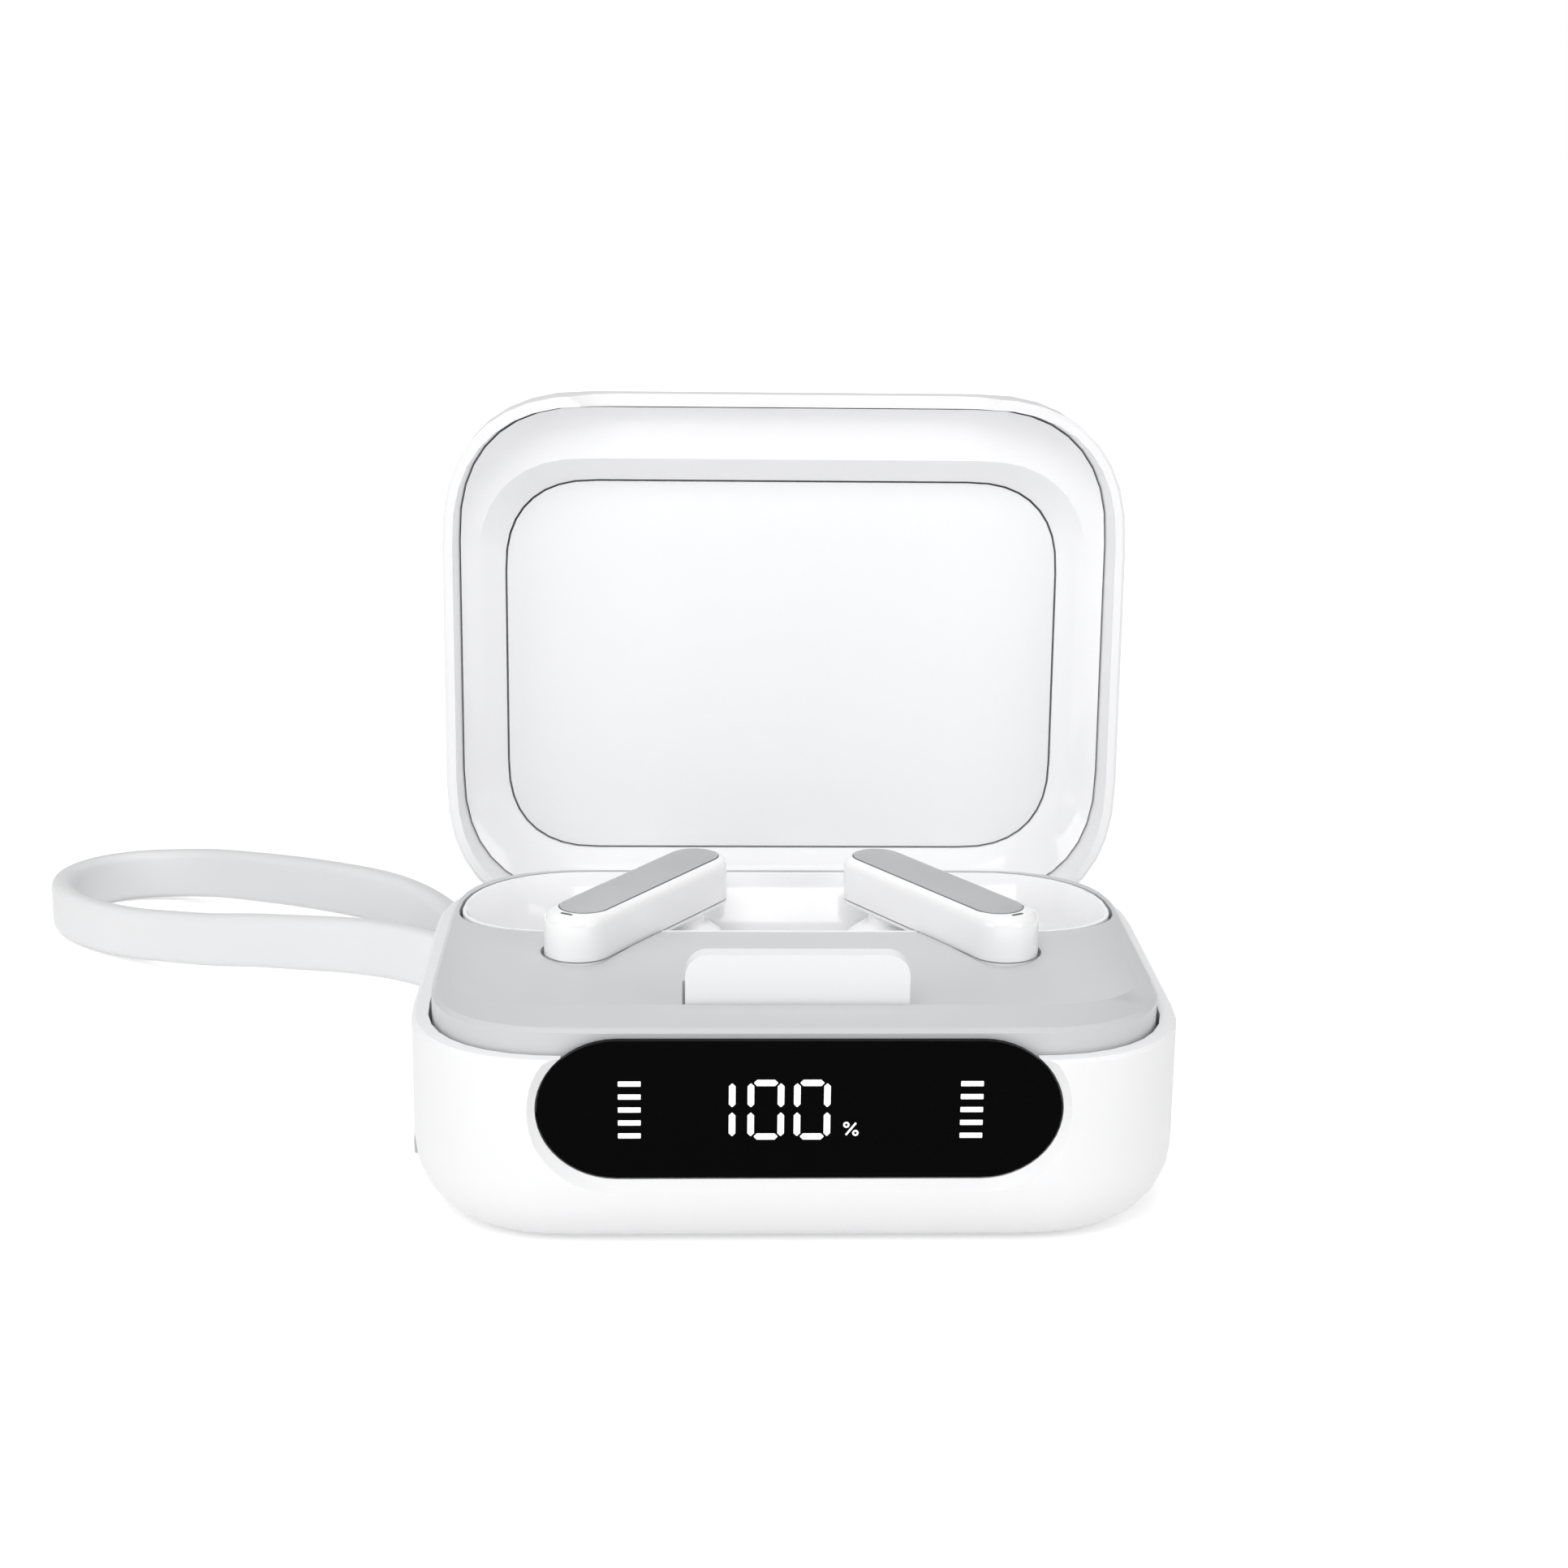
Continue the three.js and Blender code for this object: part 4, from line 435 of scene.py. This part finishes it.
bpy.ops.mesh.primitive_plane_add(size=6, location=(0, 0, 0))
floor = bpy.context.object
floor.name = "floor"
paper = bpy.data.materials.new("paper_white")
paper.use_nodes = True
paper_shader = paper.node_tree.nodes["Principled BSDF"]
paper_shader.inputs["Base Color"].default_value = linear("#f4f4f4")
paper_shader.inputs["Roughness"].default_value = 0.9
paper_shader.inputs["Emission Color"].default_value = (1, 1, 1, 1)
paths = add_node(paper, "ShaderNodeLightPath")
seen = add_node(
    paper, "ShaderNodeMath", {}, {0: paths.outputs["Is Camera Ray"], 1: paths.outputs["Is Glossy Ray"]},
    operation="MAXIMUM",
)
floor_place = add_node(paper, "ShaderNodeTexCoord").outputs["Object"]
reach = add_node(paper, "ShaderNodeVectorMath", {}, {0: floor_place}, operation="LENGTH")
away = add_node(
    paper, "ShaderNodeMapRange", {"From Min": 0.06, "From Max": 0.5, "To Min": 0.42, "To Max": 1.0},
    {"Value": reach.outputs["Value"]},
)
lift = add_node(
    paper, "ShaderNodeMath", {}, {0: seen.outputs["Value"], 1: away.outputs["Result"]}, operation="MULTIPLY"
)
paper.node_tree.links.new(lift.outputs["Value"], paper_shader.inputs["Emission Strength"])
floor.data.materials.append(paper)

world = bpy.data.worlds.new("surround")
bpy.context.scene.world = world
world.use_nodes = True
surround = world.node_tree.nodes["Background"]
surround.inputs["Color"].default_value = (1, 1, 1, 1)
world_paths = world.node_tree.nodes.new("ShaderNodeLightPath")
strength = world.node_tree.nodes.new("ShaderNodeMapRange")
strength.inputs["To Min"].default_value = 0.4
strength.inputs["To Max"].default_value = 1.0
world.node_tree.links.new(world_paths.outputs["Is Camera Ray"], strength.inputs["Value"])
world.node_tree.links.new(strength.outputs["Result"], surround.inputs["Strength"])

for name, place, size, watts in (
    ("key", (-0.1, -0.5, 0.5), 0.34, 1.6),
    ("fill", (0.42, -0.42, 0.22), 0.36, 0.75),
    ("low_fill", (-0.46, -0.34, 0.16), 0.3, 0.7),
    ("top", (-0.05, 0.1, 0.72), 0.4, 1.1),
):
    bpy.ops.object.light_add(type="AREA", location=place)
    lamp = bpy.context.object
    lamp.name = name
    lamp.data.size = size
    lamp.data.energy = watts
    lamp.rotation_euler = (Vector((0, 0, 0.03)) - Vector(place)).to_track_quat("-Z", "Y").to_euler()
